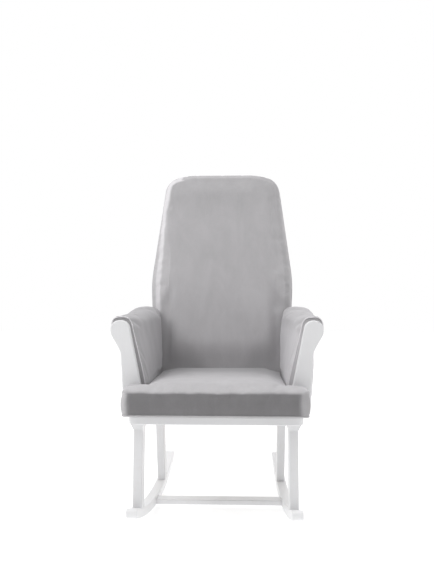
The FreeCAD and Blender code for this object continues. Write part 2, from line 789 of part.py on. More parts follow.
def arm_pads():
    """Three padded solids round each arm frame: inside, outside and the roll on top."""
    near = "panel_rear + pad_gap"
    far = back_line("0", over("arm_top_rear_up"))
    foot = "plinth_top + pad_gap"
    top = "plinth_top + arm_frame_high"
    bend = "plinth_top + cushion_thick + arm_bend_up"

    def inner(face, head):
        return [(f"{core('0', 'pad_gap')} + pad_gap", foot), (out(face), foot), (out(face), bend),
                (out(head), top), (f"{core('0', 'arm_frame_high')} + pad_gap", top)]

    outer = [(f"{core('1', 'pad_gap')} - pad_gap", foot),
             (f"{core('1', 'arm_frame_high')} - pad_gap", top), (out("arm_out_top"), top),
             (out("arm_out_neck"), over("panel_neck_up")), (out("arm_out_foot"), foot)]

    def roll(head, high):
        crest = over(high)
        shoulder = crest + " - arm_roll"
        return [(out("arm_out_top"), top + " + pad_gap"), (out(head), top + " + pad_gap"),
                (out(head) + " - roll_tuck", shoulder), (out(head) + " - 1.2 * arm_roll", crest),
                (out("arm_out_top") + " + arm_roll", crest),
                (out("arm_out_top") + " + roll_tuck / 3", shoulder)]

    sections = {
        "arm_inner_pad_left": (inner("arm_in_front", "arm_in_top_front"),
                               inner("arm_in_rear", "arm_in_top_rear")),
        "arm_outer_pad_left": (outer, outer),
        "arm_top_pad_left": (roll("arm_in_top_front", "arm_top_front_up"),
                             roll("arm_in_top_rear", "arm_top_rear_up")),
    }
    for label, (first, second) in sections.items():
        part = new_body(label)
        loft(part, "XZ_Plane", first, near, second, far)
        trim_to_back(part, "pad_gap")
        both_sides(part)


def arm_fasteners():
    """Bolts up into the arms and dowels behind the front panels."""
    bolts = new_body("arm_bolts_left")
    for across, along in arm_bolt_spots():
        bolt(bolts, across, along, "plinth_low + bolt_inset", Vector(0, 0, 1),
             "bolt_reach - bolt_head_thick - bolt_inset")
    both_in_one(bolts, "arm_bolts")
    dowels = new_body("panel_dowels_left")
    for height in panel_dowel_heights():
        peg(dowels, core("0.5", height), "panel_rear - panel_thick / 2", f"plinth_top + {height}",
            Vector(0, 1, 0), "dowel_radius", "panel_thick / 2 + dowel_reach")
    both_in_one(dowels, "panel_dowels")


# ---- back ----

def lean_back(part):
    """Stand a piece in the back's own leaning frame."""
    place(part, along="back_foot", up="plinth_top", axis=Vector(-1, 0, 0), angle="back_lean")
    return part


def foot_cut(part):
    """Cut a leaning piece level with the plinth's top."""
    reach = "2 * back_rear"
    slope = "tan(back_lean)"
    cut_through(part, "YZ_Plane", [(f"-{reach}", f"-{reach}"), (reach, f"-{reach}"),
                                   (reach, f"{reach} * {slope}"), (f"-{reach}", f"-{reach} * {slope}")])


def side_half(height, inset):
    """Half the back's width at a height above its widest place."""
    taper = f"(plinth_half - back_shoulder_half) / (back_shoulder_high - {inset} - back_wide_high)"
    return f"(plinth_half - (({height}) - back_wide_high) * {taper} - {inset})"


def back_outline(inset):
    """The back's tall barrel outline, with its corners still sharp."""
    right = [(f"back_foot_half - {inset}", "-back_foot_drop"),
             (f"plinth_half - {inset}", "back_wide_high")] + crown_line(inset)
    return right + [(f"-({across})", up) for across, up in reversed(right)]


def crown_line(inset):
    """The right shoulder and the end of the flat above it."""
    return [(f"back_shoulder_half - {inset}", f"back_shoulder_high - {inset}"),
            ("back_flat_half", f"back_high - {inset}")]


def barrel(label, inset, start, thickness):
    """A solid with the back's outline, its shoulders and sides rounded."""
    part = board(label, "XZ_Plane", back_outline(inset), start, thickness)
    round_back(part, inset)
    return part


def round_back(part, inset):
    round_crown(part, inset)
    wide = value("back_wide_high")
    round_edges(part, f"back_bend - {inset}",
                lambda edge: runs(edge, 1) and abs(middle(edge).z - wide) < 1)


def round_crown(part, inset):
    """Round a piece's shoulders and the bends beside its flat top."""
    for height, radius in (("back_shoulder_high", "back_corner"), ("back_high", "back_crown_bend")):
        level = value(f"{height} - {inset}")
        round_edges(part, f"{radius} - {inset}",
                    lambda edge: runs(edge, 1) and abs(middle(edge).z - level) < 1)


def finish_back(part):
    foot_cut(part)
    return lean_back(part)


def back_upholstery():
    """The padded front and the thin padded cover behind the frame."""
    cushion = barrel("back_cushion", "0", "0", "back_pad_thick - strap_thick - pad_gap")
    round_edges(cushion, "back_pad_round",
                lambda edge: edge.BoundBox.YMax < 0.1 and edge.BoundBox.ZMax > 1)
    kept(finish_back(cushion))
    kept(finish_back(barrel("back_rear_cover", "0", "back_frame_rear + pad_gap",
                            "back_cover_thick - pad_gap")))


def back_frame():
    """Two posts that follow the outline, joined by a crown rail and two cross rails."""
    start = "back_pad_thick"
    thick = "back_frame_thick"
    inset = "back_inset"
    top = "top_rail_low"
    outer = [(f"-(back_foot_half - {inset})", "-back_foot_drop"),
             (f"-(plinth_half - {inset})", "back_wide_high"), (f"-{side_half(top, inset)}", top)]
    inner = [(f"{across} + post_wide", up) for across, up in reversed(outer)]
    post = board("back_post_left", "XZ_Plane", outer + inner, start, thick)
    round_edges(post, "back_bend - back_inset",
                lambda edge: runs(edge, 1) and abs(middle(edge).z - value("back_wide_high")) < 1
                and middle(edge).x < -value("plinth_half - back_inset") + 1)
    foot_cut(post)
    drill_post(post)
    lean_back(post)
    both_sides(post)
    crown = [(side_half(top, inset), top)] + crown_line(inset)
    crown += [(f"-({across})", up) for across, up in reversed(crown)]
    rail = board("back_top_rail", "XZ_Plane", crown, start, thick)
    round_crown(rail, inset)
    lean_back(rail)
    kept(rail)
    for label, low in (("back_bottom_rail", "back_rail_low"), ("back_lumbar_rail", "lumbar_rail_low")):
        high = f"{low} + back_rail_high"
        corners = [(post_inner(low), low), (post_inner(high), high),
                   (f"-{post_inner(high)}", high), (f"-{post_inner(low)}", low)]
        cross = board(label, "XZ_Plane", corners, start, thick)
        lean_back(cross)
        kept(cross)


def post_inner(height):
    """Half the clear width between the posts below their widest place."""
    rise = "(plinth_half - back_foot_half) / (back_wide_high + back_foot_drop)"
    return f"(back_foot_half - back_inset - post_wide + (({height}) + back_foot_drop) * {rise})"


def drill_post(post):
    """The hole that a back bolt comes up into, square to the plinth."""
    lean = math.radians(value("back_lean"))
    axis = Vector(0, -math.sin(lean), math.cos(lean))
    drill(post, f"-({BACK_BOLT_ACROSS})", BACK_BOLT_ALONG, f"{BACK_BOLT_ALONG} * tan(back_lean)", axis,
          "bolt_radius + hole_gap", "bolt_reach - rail_thick + 2 * hole_gap")


def back_webbing():
    """Straps across the front of the posts, behind the cushion."""
    straps = new_body("back_webbing")
    drawing = new_sketch(straps, "XZ_Plane", "back_pad_thick - strap_thick")
    for strap in range(6):
        centre = f"(back_strap_low + {strap} * back_strap_step)"
        half = f"(min({post_inner(centre)} + post_wide; {side_half(centre, 'back_inset')}) - strap_lap)"
        outline(drawing, rectangle(f"-{half}", half, f"{centre} - strap_wide / 2",
                                   f"{centre} + strap_wide / 2"))
    pad(straps, drawing, "strap_thick")
    lean_back(straps)
    kept(straps)


def back_bolts():
    """Bolts up through the side rails into the back's posts."""
    bolts = new_body("back_bolts_left")
    bolt(bolts, *back_bolt_spot(), "plinth_low + bolt_inset", Vector(0, 0, 1),
         "bolt_reach - bolt_head_thick - bolt_inset")
    both_in_one(bolts, "back_bolts")


def write_parts():
    """Check every object of the document, then write one file for each piece."""
    doc.recompute()
    failed = [f"{item.Label} in {[holder.Label for holder in item.InList]}" for item in doc.Objects
              if {"Invalid", "Error"} & set(item.State)]
    if failed:
        raise ValueError("not built: " + ", ".join(failed))
    for part in parts:
        if part.Shape.isNull() or not part.Shape.isValid():
            raise ValueError(part.Label + " has no valid shape")
    os.makedirs("parts", exist_ok=True)
    for part in parts:
        part.Shape.exportStep(os.path.join("parts", part.Label + ".step"))
    print(len(parts), "pieces written")


fill_sheet()
for build in (rockers, legs, capitals, stretcher, leg_fasteners, plinth, corner_blocks, webbing,
              seat_cushion, arm_frames, arm_panels, arm_pads, arm_fasteners, back_upholstery,
              back_frame, back_webbing, back_bolts):
    build()
write_parts()
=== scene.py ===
import math

import bmesh
import bpy
import numpy as np
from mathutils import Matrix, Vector, noise


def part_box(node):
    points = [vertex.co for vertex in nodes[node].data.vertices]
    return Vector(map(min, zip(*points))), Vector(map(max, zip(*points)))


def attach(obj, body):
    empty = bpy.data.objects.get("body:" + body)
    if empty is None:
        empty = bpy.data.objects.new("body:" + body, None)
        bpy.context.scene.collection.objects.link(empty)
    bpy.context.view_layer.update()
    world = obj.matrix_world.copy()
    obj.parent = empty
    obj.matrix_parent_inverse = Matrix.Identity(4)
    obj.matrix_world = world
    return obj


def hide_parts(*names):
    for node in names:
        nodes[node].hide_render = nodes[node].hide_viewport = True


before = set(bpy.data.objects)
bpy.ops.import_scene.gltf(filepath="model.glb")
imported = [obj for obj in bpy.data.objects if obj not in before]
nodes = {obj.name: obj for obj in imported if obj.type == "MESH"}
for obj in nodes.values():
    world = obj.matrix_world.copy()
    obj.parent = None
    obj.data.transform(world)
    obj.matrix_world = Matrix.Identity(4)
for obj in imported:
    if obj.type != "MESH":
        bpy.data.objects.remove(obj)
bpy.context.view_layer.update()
scene = bpy.context.scene


# --- camera, light, floor

WORLD_FRONT = 0.36
WORLD_BACK = 1.15
FLOOR_REACH = 9.0


def add_camera():
    data = bpy.data.cameras.new("camera")
    data.sensor_width = 36
    data.lens = 44.46
    camera = bpy.data.objects.new("camera", data)
    camera.location = (0.0922, -2.516, 0.7439)
    camera.rotation_euler = (math.pi / 2 - 0.00483, 0, 0.0407)
    scene.collection.objects.link(camera)
    scene.camera = camera


def add_area(name, place, target, size, power):
    data = bpy.data.lights.new(name, "AREA")
    data.shape = "SQUARE"
    data.size = size
    data.energy = power
    light = bpy.data.objects.new(name, data)
    light.location = place
    away = Vector(place) - Vector(target)
    light.rotation_euler = away.to_track_quat("Z", "Y").to_euler()
    scene.collection.objects.link(light)


def add_world():
    """Pale all round, dimmer from the side the camera stands on, so that upright fronts fall into shade."""
    world = bpy.data.worlds.new("studio")
    world.use_nodes = True
    tree = world.node_tree
    tree.nodes.clear()
    kinds = ("TexCoord", "SeparateXYZ", "MapRange", "Background", "Background", "LightPath",
             "MixShader", "OutputWorld")
    spot, split, ramp, lit, plain, seen, mix, out = (tree.nodes.new("ShaderNode" + kind) for kind in kinds)
    ramp.interpolation_type = "SMOOTHSTEP"
    limits = {"From Min": -0.9, "From Max": 0.35, "To Min": WORLD_FRONT, "To Max": WORLD_BACK}
    for socket, number in limits.items():
        ramp.inputs[socket].default_value = number
    for background in (lit, plain):
        background.inputs["Color"].default_value = (1, 1, 1, 1)
    links = ((spot.outputs["Generated"], split.inputs[0]), (split.outputs["Y"], ramp.inputs["Value"]),
             (ramp.outputs["Result"], lit.inputs["Strength"]),
             (seen.outputs["Is Camera Ray"], mix.inputs[0]), (lit.outputs[0], mix.inputs[1]),
             (plain.outputs[0], mix.inputs[2]), (mix.outputs[0], out.inputs[0]))
    for start, end in links:
        tree.links.new(start, end)
    scene.world = world


def add_floor():
    corners = [(x * FLOOR_REACH, y * FLOOR_REACH, 0) for x, y in ((-1, -1), (1, -1), (1, 1), (-1, 1))]
    mesh = bpy.data.meshes.new("floor")
    mesh.from_pydata(corners, [], [(0, 1, 2, 3)])
    floor = bpy.data.objects.new("floor", mesh)
    scene.collection.objects.link(floor)
    paint = Shader("floor_white", rough=0.9)
    paint.set("Base Color", (0.62, 0.62, 0.62, 1))
    paint.set("Specular IOR Level", 0.0)
    paint.set("Emission Color", (1, 1, 1, 1))
    paint.set("Emission Strength", 0.6)
    mesh.materials.append(paint.material)


# --- materials

class Shader:
    """A Principled material with helpers for the procedural nodes in front of it."""

    def __init__(self, name, rough, metal=0.0):
        self.material = bpy.data.materials.new(name)
        self.material.use_nodes = True
        self.tree = self.material.node_tree
        self.body = self.tree.nodes["Principled BSDF"]
        self.set("Roughness", rough)
        self.set("Metallic", metal)
        self.spot = None

    def set(self, socket, setting):
        self.body.inputs[socket].default_value = setting

    def add(self, kind, **settings):
        node = self.tree.nodes.new("ShaderNode" + kind)
        for key, setting in settings.items():
            setattr(node, key, setting)
        return node

    def link(self, start, end):
        self.tree.links.new(start, end)

    def spots(self, stretch=(1, 1, 1)):
        """Object coordinates, which here are metres in the chair's own frame."""
        if self.spot is None:
            self.spot = self.add("TexCoord")
        mapping = self.add("Mapping")
        mapping.inputs["Scale"].default_value = stretch
        self.link(self.spot.outputs["Object"], mapping.inputs["Vector"])
        return mapping.outputs["Vector"]

    def noise(self, scale, detail=3, stretch=(1, 1, 1), rough=0.55, bent=0.0):
        node = self.add("TexNoise")
        node.inputs["Scale"].default_value = scale
        node.inputs["Detail"].default_value = detail
        node.inputs["Roughness"].default_value = rough
        node.inputs["Distortion"].default_value = bent
        self.link(self.spots(stretch), node.inputs["Vector"])
        return node.outputs["Fac"]

    def wave(self, scale, axis, bent=0.0, detail=2, stretch=(1, 1, 1)):
        node = self.add("TexWave", wave_type="BANDS", bands_direction=axis)
        node.inputs["Scale"].default_value = scale
        node.inputs["Distortion"].default_value = bent
        node.inputs["Detail"].default_value = detail
        self.link(self.spots(stretch), node.inputs["Vector"])
        return node.outputs["Fac"]

    def span(self, source, low, high, start=0.3, end=0.7):
        node = self.add("MapRange")
        for socket, number in (("From Min", start), ("From Max", end), ("To Min", low), ("To Max", high)):
            node.inputs[socket].default_value = number
        self.link(source, node.inputs["Value"])
        return node.outputs["Result"]

    def times(self, first, second, operation="MULTIPLY"):
        node = self.add("Math", operation=operation)
        self.link(first, node.inputs[0])
        if isinstance(second, (int, float)):
            node.inputs[1].default_value = second
        else:
            self.link(second, node.inputs[1])
        return node.outputs[0]

    def blend(self, factor, first, second):
        node = self.add("Mix", data_type="RGBA")
        self.link(factor, node.inputs[0])
        for socket, tint in ((node.inputs[6], first), (node.inputs[7], second)):
            if isinstance(tint, tuple):
                socket.default_value = tint + (1,)
            else:
                self.link(tint, socket)
        return node.outputs[2]

    def shade(self, tint, factor):
        """A colour made lighter or darker by a number."""
        node = self.add("VectorMath", operation="SCALE")
        if isinstance(tint, tuple):
            node.inputs[0].default_value = tint
        else:
            self.link(tint, node.inputs[0])
        self.link(factor, node.inputs["Scale"])
        return node.outputs[0]

    def bump(self, heights):
        """Bumps in a chain: each is (height output, depth in metres, strength)."""
        last = None
        for height, depth, strength in heights:
            node = self.add("Bump")
            node.inputs["Strength"].default_value = strength
            node.inputs["Distance"].default_value = depth
            self.link(height, node.inputs["Height"])
            if last is not None:
                self.link(last, node.inputs["Normal"])
            last = node.outputs["Normal"]
        self.link(last, self.body.inputs["Normal"])

    def colour(self, output):
        self.link(output, self.body.inputs["Base Color"])

    def roughness(self, output):
        self.link(output, self.body.inputs["Roughness"])


def velvet(name, tint):
    """Short-pile velvet: brushed streaks along the lie of the pile, soft crushed patches and a fine pile,
    scaled per point by an attribute that carries painted light and shade.
    """
    streaks = (1, 1, 0.1)
    paint = Shader(name, rough=0.82)
    paint.set("Specular IOR Level", 0.18)
    paint.set("Sheen Weight", 0.32)
    paint.set("Sheen Roughness", 0.38)
    paint.set("Sheen Tint", (0.93, 0.93, 0.96, 1))
    brushed = paint.span(paint.noise(42, 5, streaks, 0.65), 0.978, 1.022)
    crushed = paint.span(paint.noise(15, 5, (1, 1, 0.6), 0.62, 0.5), 0.95, 1.05)
    pile = paint.span(paint.noise(700, 3), 0.93, 1.07)
    # The per-point attribute read here scales the colour: painted light and shade on the seat, arms, back and
    # arm piping, a plain tone on the other pieces.
    nap = paint.add("Attribute", attribute_name="nap").outputs["Fac"]
    tone = paint.times(paint.times(paint.times(brushed, crushed), pile), nap)
    paint.colour(paint.shade(tint, tone))
    paint.roughness(paint.span(paint.noise(24, 3, streaks), 0.74, 0.9))
    paint.bump([(paint.noise(160, 3, rough=0.6), 0.0004, 0.25), (paint.noise(1500, 2), 0.00025, 0.3)])
    return paint.material


def grain_stretch(axis, along=0.06):
    return tuple(along if letter == axis else 1.0 for letter in "XYZ")


def painted_wood(name, axis, light=0.0):
    """Satin white paint with the grain just telling through it, a little dirt and rubbed edges; light lifts
    the grey to make a lighter copy, a painted highlight.
    """
    paint = Shader(name, rough=0.38)
    paint.set("Specular IOR Level", 0.45)
    stretch = grain_stretch(axis)
    grain = paint.noise(260, 4, stretch, 0.6, 0.4)
    cloud = paint.noise(5, 3, (1, 1, 1), 0.5)
    edge = paint.add("NewGeometry").outputs["Pointiness"]
    patches = paint.span(paint.noise(38, 4), 0.0, 0.22, 0.5, 0.8)
    rubbed = paint.times(paint.span(edge, 0.0, 1.0, 0.53, 0.62), patches)
    dull, fresh = ((grey + light, grey + light, grey + light + 0.01) for grey in (0.735, 0.765))
    base = paint.blend(paint.span(cloud, 0.0, 1.0), dull, fresh)
    worn = paint.blend(rubbed, base, (0.66, 0.64, 0.61))
    paint.colour(paint.shade(worn, paint.span(grain, 0.992, 1.006)))
    paint.roughness(paint.span(paint.noise(16, 3), 0.3, 0.48))
    paint.bump([(grain, 0.0001, 0.16), (paint.noise(420, 2), 0.00008, 0.15)])
    return paint.material


def raw_wood(name, axis):
    """Planed birch: growth bands, fine pores and a few darker streaks."""
    paint = Shader(name, rough=0.62)
    stretch = grain_stretch(axis, 0.045)
    other = "Z" if axis != "Z" else "X"
    bands = paint.wave(26, other, bent=5.0, detail=3, stretch=stretch)
    pores = paint.noise(420, 4, stretch, 0.7)
    streaks = paint.noise(34, 4, stretch, 0.6, 0.8)
    tone = paint.times(paint.span(bands, 0.35, 0.65, 0.1, 0.9), paint.span(streaks, 0.5, 1.4))
    base = paint.blend(tone, (0.78, 0.62, 0.43), (0.60, 0.43, 0.26))
    paint.colour(paint.shade(base, paint.span(pores, 0.9, 1.06)))
    paint.roughness(paint.span(streaks, 0.52, 0.72))
    paint.bump([(pores, 0.0003, 0.35), (bands, 0.0002, 0.15)])
    return paint.material


def woven_strap(name):
    """Black elastic webbing: ribs across, two pale lines along, loose fibres."""
    paint = Shader(name, rough=0.85)
    paint.set("Sheen Weight", 0.15)
    ribs = paint.times(paint.wave(260, "X"), paint.wave(260, "Z"), "MAXIMUM")
    cross = paint.wave(180, "Y")
    weave = paint.times(ribs, cross)
    base = paint.blend(weave, (0.055, 0.052, 0.052), (0.15, 0.145, 0.14))
    paint.colour(paint.shade(base, paint.span(paint.noise(60, 3), 0.8, 1.2)))
    paint.bump([(weave, 0.0004, 0.6), (paint.noise(900, 2), 0.0002, 0.4)])
    return paint.material


def needled_felt(name):
    paint = Shader(name, rough=0.95)
    paint.set("Sheen Weight", 0.25)
    fibres = paint.span(paint.noise(500, 4, rough=0.7), 0.0, 1.0)
    base = paint.blend(fibres, (0.62, 0.61, 0.59), (0.80, 0.79, 0.77))
    paint.colour(paint.shade(base, paint.span(paint.noise(18, 3), 0.93, 1.05)))
    paint.bump([(paint.noise(700, 4, rough=0.7), 0.0005, 0.6)])
    return paint.material


def zinc(name):
    paint = Shader(name, rough=0.36, metal=1.0)
    cloud = paint.noise(60, 3)
    paint.colour(paint.blend(paint.span(cloud, 0.0, 1.0), (0.62, 0.63, 0.65), (0.76, 0.77, 0.79)))
    paint.roughness(paint.span(paint.noise(240, 3, (1, 1, 0.2)), 0.28, 0.5))
    paint.bump([(paint.noise(600, 3, (1, 1, 0.15)), 0.0001, 0.4)])
    return paint.material


ALONG_Y = ("rocker", "side_rail", "arm_bottom_rail", "arm_top_rail", "arm_web_board", "webbing_length")
ALONG_Z = ("leg", "panel_left", "panel_right", "post", "dowels")
# The rockers and stretcher get a lighter copy of the paint, a painted highlight against the shade the floor
# casts onto them.
LIT_UNDERFRAME_PARTS = ("rocker", "stretcher")
UNDERFRAME_PAINTED_LIGHT = 0.09


def grain_axis(name):
    if any(word in name for word in ALONG_Z):
        return "Z"
    if any(word in name for word in ALONG_Y):
        return "Y"
    return "X"


def finish_for(kind, name):
    """The name of a node's finish, its maker and what the maker is told."""
    if kind == "white_paint":
        axis = grain_axis(name)
        # A lighter paint copy for the rockers and stretcher: painted light.
        if name.startswith(LIT_UNDERFRAME_PARTS):
            return f"{kind}_{axis}_light", painted_wood, (axis, UNDERFRAME_PAINTED_LIGHT)
        return f"{kind}_{axis}", painted_wood, (axis,)
    if kind == "raw_wood":
        axis = grain_axis(name)
        return f"{kind}_{axis}", raw_wood, (axis,)
    return kind, {"webbing": woven_strap, "felt": needled_felt, "zinc_steel": zinc}.get(kind), ()


def dress_frame():
    """Gives every CAD node that stays in view its finish, with the grain running along the part."""
    finishes = {}
    for name in sorted(nodes):
        for holder in nodes[name].material_slots:
            key, maker, told = finish_for(holder.material.name.split(".")[0], name)
            if maker is None:
                continue
            if key not in finishes:
                finishes[key] = maker(key + "_finish", *told)
            holder.material = finishes[key]


# --- mesh helpers

def make_piece(name, points, faces, material, nap):
    mesh = bpy.data.meshes.new(name)
    mesh.from_pydata([tuple(point) for point in points], [], faces)
    skin = bmesh.new()
    skin.from_mesh(mesh)
    bmesh.ops.recalc_face_normals(skin, faces=skin.faces)
    skin.to_mesh(mesh)
    skin.free()
    piece = bpy.data.objects.new(name, mesh)
    scene.collection.objects.link(piece)
    mesh.materials.append(material)
    mesh.polygons.foreach_set("use_smooth", [True] * len(mesh.polygons))
    # The per-point tone stored here is painted light and shade on the covers and a plain tone on the rest.
    tone = mesh.attributes.new("nap", "FLOAT", "POINT")
    tone.data.foreach_set("value", np.full(len(points), nap, float))
    return piece


def points_of(piece):
    flat = np.empty(len(piece.data.vertices) * 3)
    piece.data.vertices.foreach_get("co", flat)
    return flat.reshape(-1, 3)


def move_points(piece, points):
    piece.data.vertices.foreach_set("co", np.asarray(points, float).ravel())
    piece.data.update()


def smooth_step(low, high, values):
    part = np.clip((values - low) / (high - low), 0, 1)
    return part * part * (3 - 2 * part)


def hill(values, middle, half):
    """1 at the middle, falling off softly as a bell curve; half says how wide it is."""
    return np.exp(-((values - middle) / half) ** 2)


def ripple(points, scale, seed):
    """Smooth noise from -1 to 1 at each point, the same on every run."""
    away = Vector((seed * 7.31, seed * 3.77, seed * 5.13))
    return np.array([noise.noise(Vector(point) * scale + away) for point in points])


def even(path, count):
    """A polyline resampled to evenly spaced points."""
    path = np.asarray(path, float)
    steps = np.linalg.norm(np.diff(path, axis=0), axis=1)
    travelled = np.concatenate([[0], np.cumsum(steps)])
    spots = np.linspace(0, travelled[-1], count)
    return np.stack([np.interp(spots, travelled, path[:, i]) for i in range(path.shape[1])], axis=1)


def rounded(path, times):
    """Corner cutting that keeps both ends."""
    path = np.asarray(path, float)
    for _ in range(times):
        near = path[:-1] * 0.75 + path[1:] * 0.25
        far = path[:-1] * 0.25 + path[1:] * 0.75
        middle = np.empty((len(near) * 2, path.shape[1]))
        middle[0::2] = near
        middle[1::2] = far
        path = np.vstack([path[:1], middle, path[-1:]])
    return path


def relax(points, faces, chosen, times, strength=0.5):
    """Evens out the chosen points by moving each towards the mean of its neighbours."""
    edges = set()
    for face in faces:
        for i, start in enumerate(face):
            end = face[(i + 1) % len(face)]
            edges.add((min(start, end), max(start, end)))
    edges = np.array(sorted(edges))
    count = np.zeros(len(points))
    np.add.at(count, edges[:, 0], 1)
    np.add.at(count, edges[:, 1], 1)
    points = np.array(points, float)
    weight = np.asarray(chosen, float)[:, None] * strength
    for _ in range(times):
        total = np.zeros_like(points)
        np.add.at(total, edges[:, 0], points[edges[:, 1]])
        np.add.at(total, edges[:, 1], points[edges[:, 0]])
        points = points + (total / count[:, None] - points) * weight
    return points


def add_subdivision(piece):
    modifier = piece.modifiers.new("subdivision", "SUBSURF")
    modifier.levels = 1
    modifier.render_levels = 1


def finish_cushion(piece, points, fill, *solids):
    """Sets a cover's last shape, smooths it, hangs it on the root body and hides the plain solids it stands
    for. fill is not used.
    """
    move_points(piece, points)
    add_subdivision(piece)
    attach(piece, "root")
    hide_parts(*solids)


# --- cloth

CLOTH_FRAMES = 20
TWIN_EDGE = 0.0002
stuffed = []


def part_twins(piece):
    """Moves points that lie on top of each other apart, since cloth can't work with an edge of no length."""
    edges = np.array([tuple(edge.vertices) for edge in piece.data.edges])
    faces = [tuple(face.vertices) for face in piece.data.polygons]
    points = points_of(piece)
    length = np.linalg.norm(points[edges[:, 0]] - points[edges[:, 1]], axis=1)
    twin = np.zeros(len(points))
    twin[edges[length < TWIN_EDGE].ravel()] = 1
    if twin.any():
        move_points(piece, relax(points, faces, twin, 3))


def stuff(piece, held, pressure, cap, slack, limit):
    """Queues a piece for the cloth run. held is how firmly each point is sewn or backed, from 0 to 1."""
    part_twins(piece)
    stuffed.append({"piece": piece, "start": points_of(piece), "cap": cap, "limit": limit})
    group = piece.vertex_groups.new(name="held")
    for index, weight in enumerate(held):
        if weight > 0:
            group.add([index], float(weight), "REPLACE")
    modifier = piece.modifiers.new("cloth", "CLOTH")
    settings = modifier.settings
    settings.quality = 5
    settings.mass = 0.25
    settings.tension_stiffness = settings.compression_stiffness = 18
    settings.shear_stiffness = 8
    settings.bending_stiffness = 0.4
    settings.tension_damping = settings.compression_damping = 12
    settings.air_damping = 3
    settings.vertex_group_mass = "held"
    settings.use_pressure = True
    settings.uniform_pressure_force = pressure
    settings.shrink_min = -slack
    settings.effector_weights.gravity = 0
    modifier.collision_settings.use_collision = False
    modifier.collision_settings.use_self_collision = False
    modifier.point_cache.frame_start = 1
    modifier.point_cache.frame_end = CLOTH_FRAMES


def run_cloth():
    """Runs every queued cloth together, caps how far each point went, and keeps the result in the mesh."""
    for number in range(1, CLOTH_FRAMES + 1):
        scene.frame_set(number)
    graph = bpy.context.evaluated_depsgraph_get()
    for job in stuffed:
        mesh = job["piece"].evaluated_get(graph).to_mesh()
        flat = np.empty(len(mesh.vertices) * 3)
        mesh.vertices.foreach_get("co", flat)
        job["moved"] = flat.reshape(-1, 3)
        job["piece"].evaluated_get(graph).to_mesh_clear()
    for job in stuffed:
        piece = job["piece"]
        piece.modifiers.remove(piece.modifiers["cloth"])
        piece.vertex_groups.clear()
        step = job["moved"] - job["start"]
        size = np.linalg.norm(step, axis=1, keepdims=True)
        kept = job["start"] + step * np.minimum(1, job["cap"] / np.maximum(size, 1e-9))
        move_points(piece, job["limit"](kept, job["start"]))
        print("cloth", piece.name, "moved at most", round(float(size.max()) * 1000, 1), "mm")
    scene.frame_set(1)


# --- places taken from the frame

GAP = 0.001
SIGNS = {"left": -1, "right": 1}
seat_low, seat_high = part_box("seat_cushion")
foot_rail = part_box("arm_bottom_rail_left")
head_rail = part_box("arm_top_rail_left")
PLINTH = foot_rail[0].z
LEAN = math.radians(11)
BACK_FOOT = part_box("back_cushion")[0].y
ARM_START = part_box("arm_inner_pad_left")[0].y


def back_face(height):
    """Where the back's front face is at a height above the floor."""
    return BACK_FOOT + (height - PLINTH) * math.tan(LEAN)


def to_back(points):
    """Chair coordinates to the back's own: across, depth behind its front face, height up the face."""
    points = np.asarray(points, float)
    behind = points[:, 1] - BACK_FOOT
    above = points[:, 2] - PLINTH
    return np.stack([points[:, 0], behind * math.cos(LEAN) - above * math.sin(LEAN),
                     behind * math.sin(LEAN) + above * math.cos(LEAN)], axis=1)


def from_back(local):
    local = np.asarray(local, float)
    return np.stack([local[:, 0],
                     BACK_FOOT + local[:, 2] * math.sin(LEAN) + local[:, 1] * math.cos(LEAN),
                     PLINTH + local[:, 2] * math.cos(LEAN) - local[:, 1] * math.sin(LEAN)], axis=1)


# --- piping

PIPING_SIDES = 8


def add_piping(name, path, radius, material, tone, ruched=None):
    """A fabric-covered cord sewn into a seam: a tube whose skin is drawn in slightly by the stitches."""
    path = np.asarray(path, float)
    count = len(path)
    sides = PIPING_SIDES
    along = np.vstack([path[1:], path[-1:]]) - np.vstack([path[:1], path[:-1]])
    along /= np.maximum(np.linalg.norm(along, axis=1, keepdims=True), 1e-9)
    side = np.cross(along, (0.13, 0.21, 0.97))
    side /= np.maximum(np.linalg.norm(side, axis=1, keepdims=True), 1e-9)
    top = np.cross(side, along)
    points = []
    for i in range(count):
        wide = radius * (1 + 0.05 * math.sin(i * 1.9))
        if ruched is not None:
            wide *= 1 + 0.55 * ruched[i] * noise.noise(Vector((i * 0.37, 3.1, 0.4)))
        for j in range(sides):
            turn = 2 * math.pi * j / sides
            points.append(path[i] + side[i] * math.cos(turn) * wide + top[i] * math.sin(turn) * wide)
    faces = [tuple(range(sides - 1, -1, -1)), tuple(range((count - 1) * sides, count * sides))]
    for i in range(count - 1):
        for j in range(sides):
            beside = (j + 1) % sides
            faces.append((i * sides + j, i * sides + beside, (i + 1) * sides + beside, (i + 1) * sides + j))
    piece = make_piece(name, points, faces, material, tone)
    add_subdivision(piece)
    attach(piece, "root")


# --- seat cushion

STEP = 0.0075
SEAT_HALF = (0.216, 0.212)      # at the ears and at the rear
EAR_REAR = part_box("arm_front_panel_left")[0].y - 0.004
EAR_CORNER = 0.013
SEAT_LEVELS = (0, 3.5, 9, 17, 26, 35, 44, 52, 58, 62.5, 66.5, 70.5, 74, 77)     # closer near the seams


def spread(start, end, step):
    return np.linspace(start, end, max(2, int(round(abs(end - start) / step)) + 1))


def corner_square(a, b):
    """Maps a unit square onto a quarter disc."""
    return a * np.sqrt(1 - b * b / 2), b * np.sqrt(1 - a * a / 2)


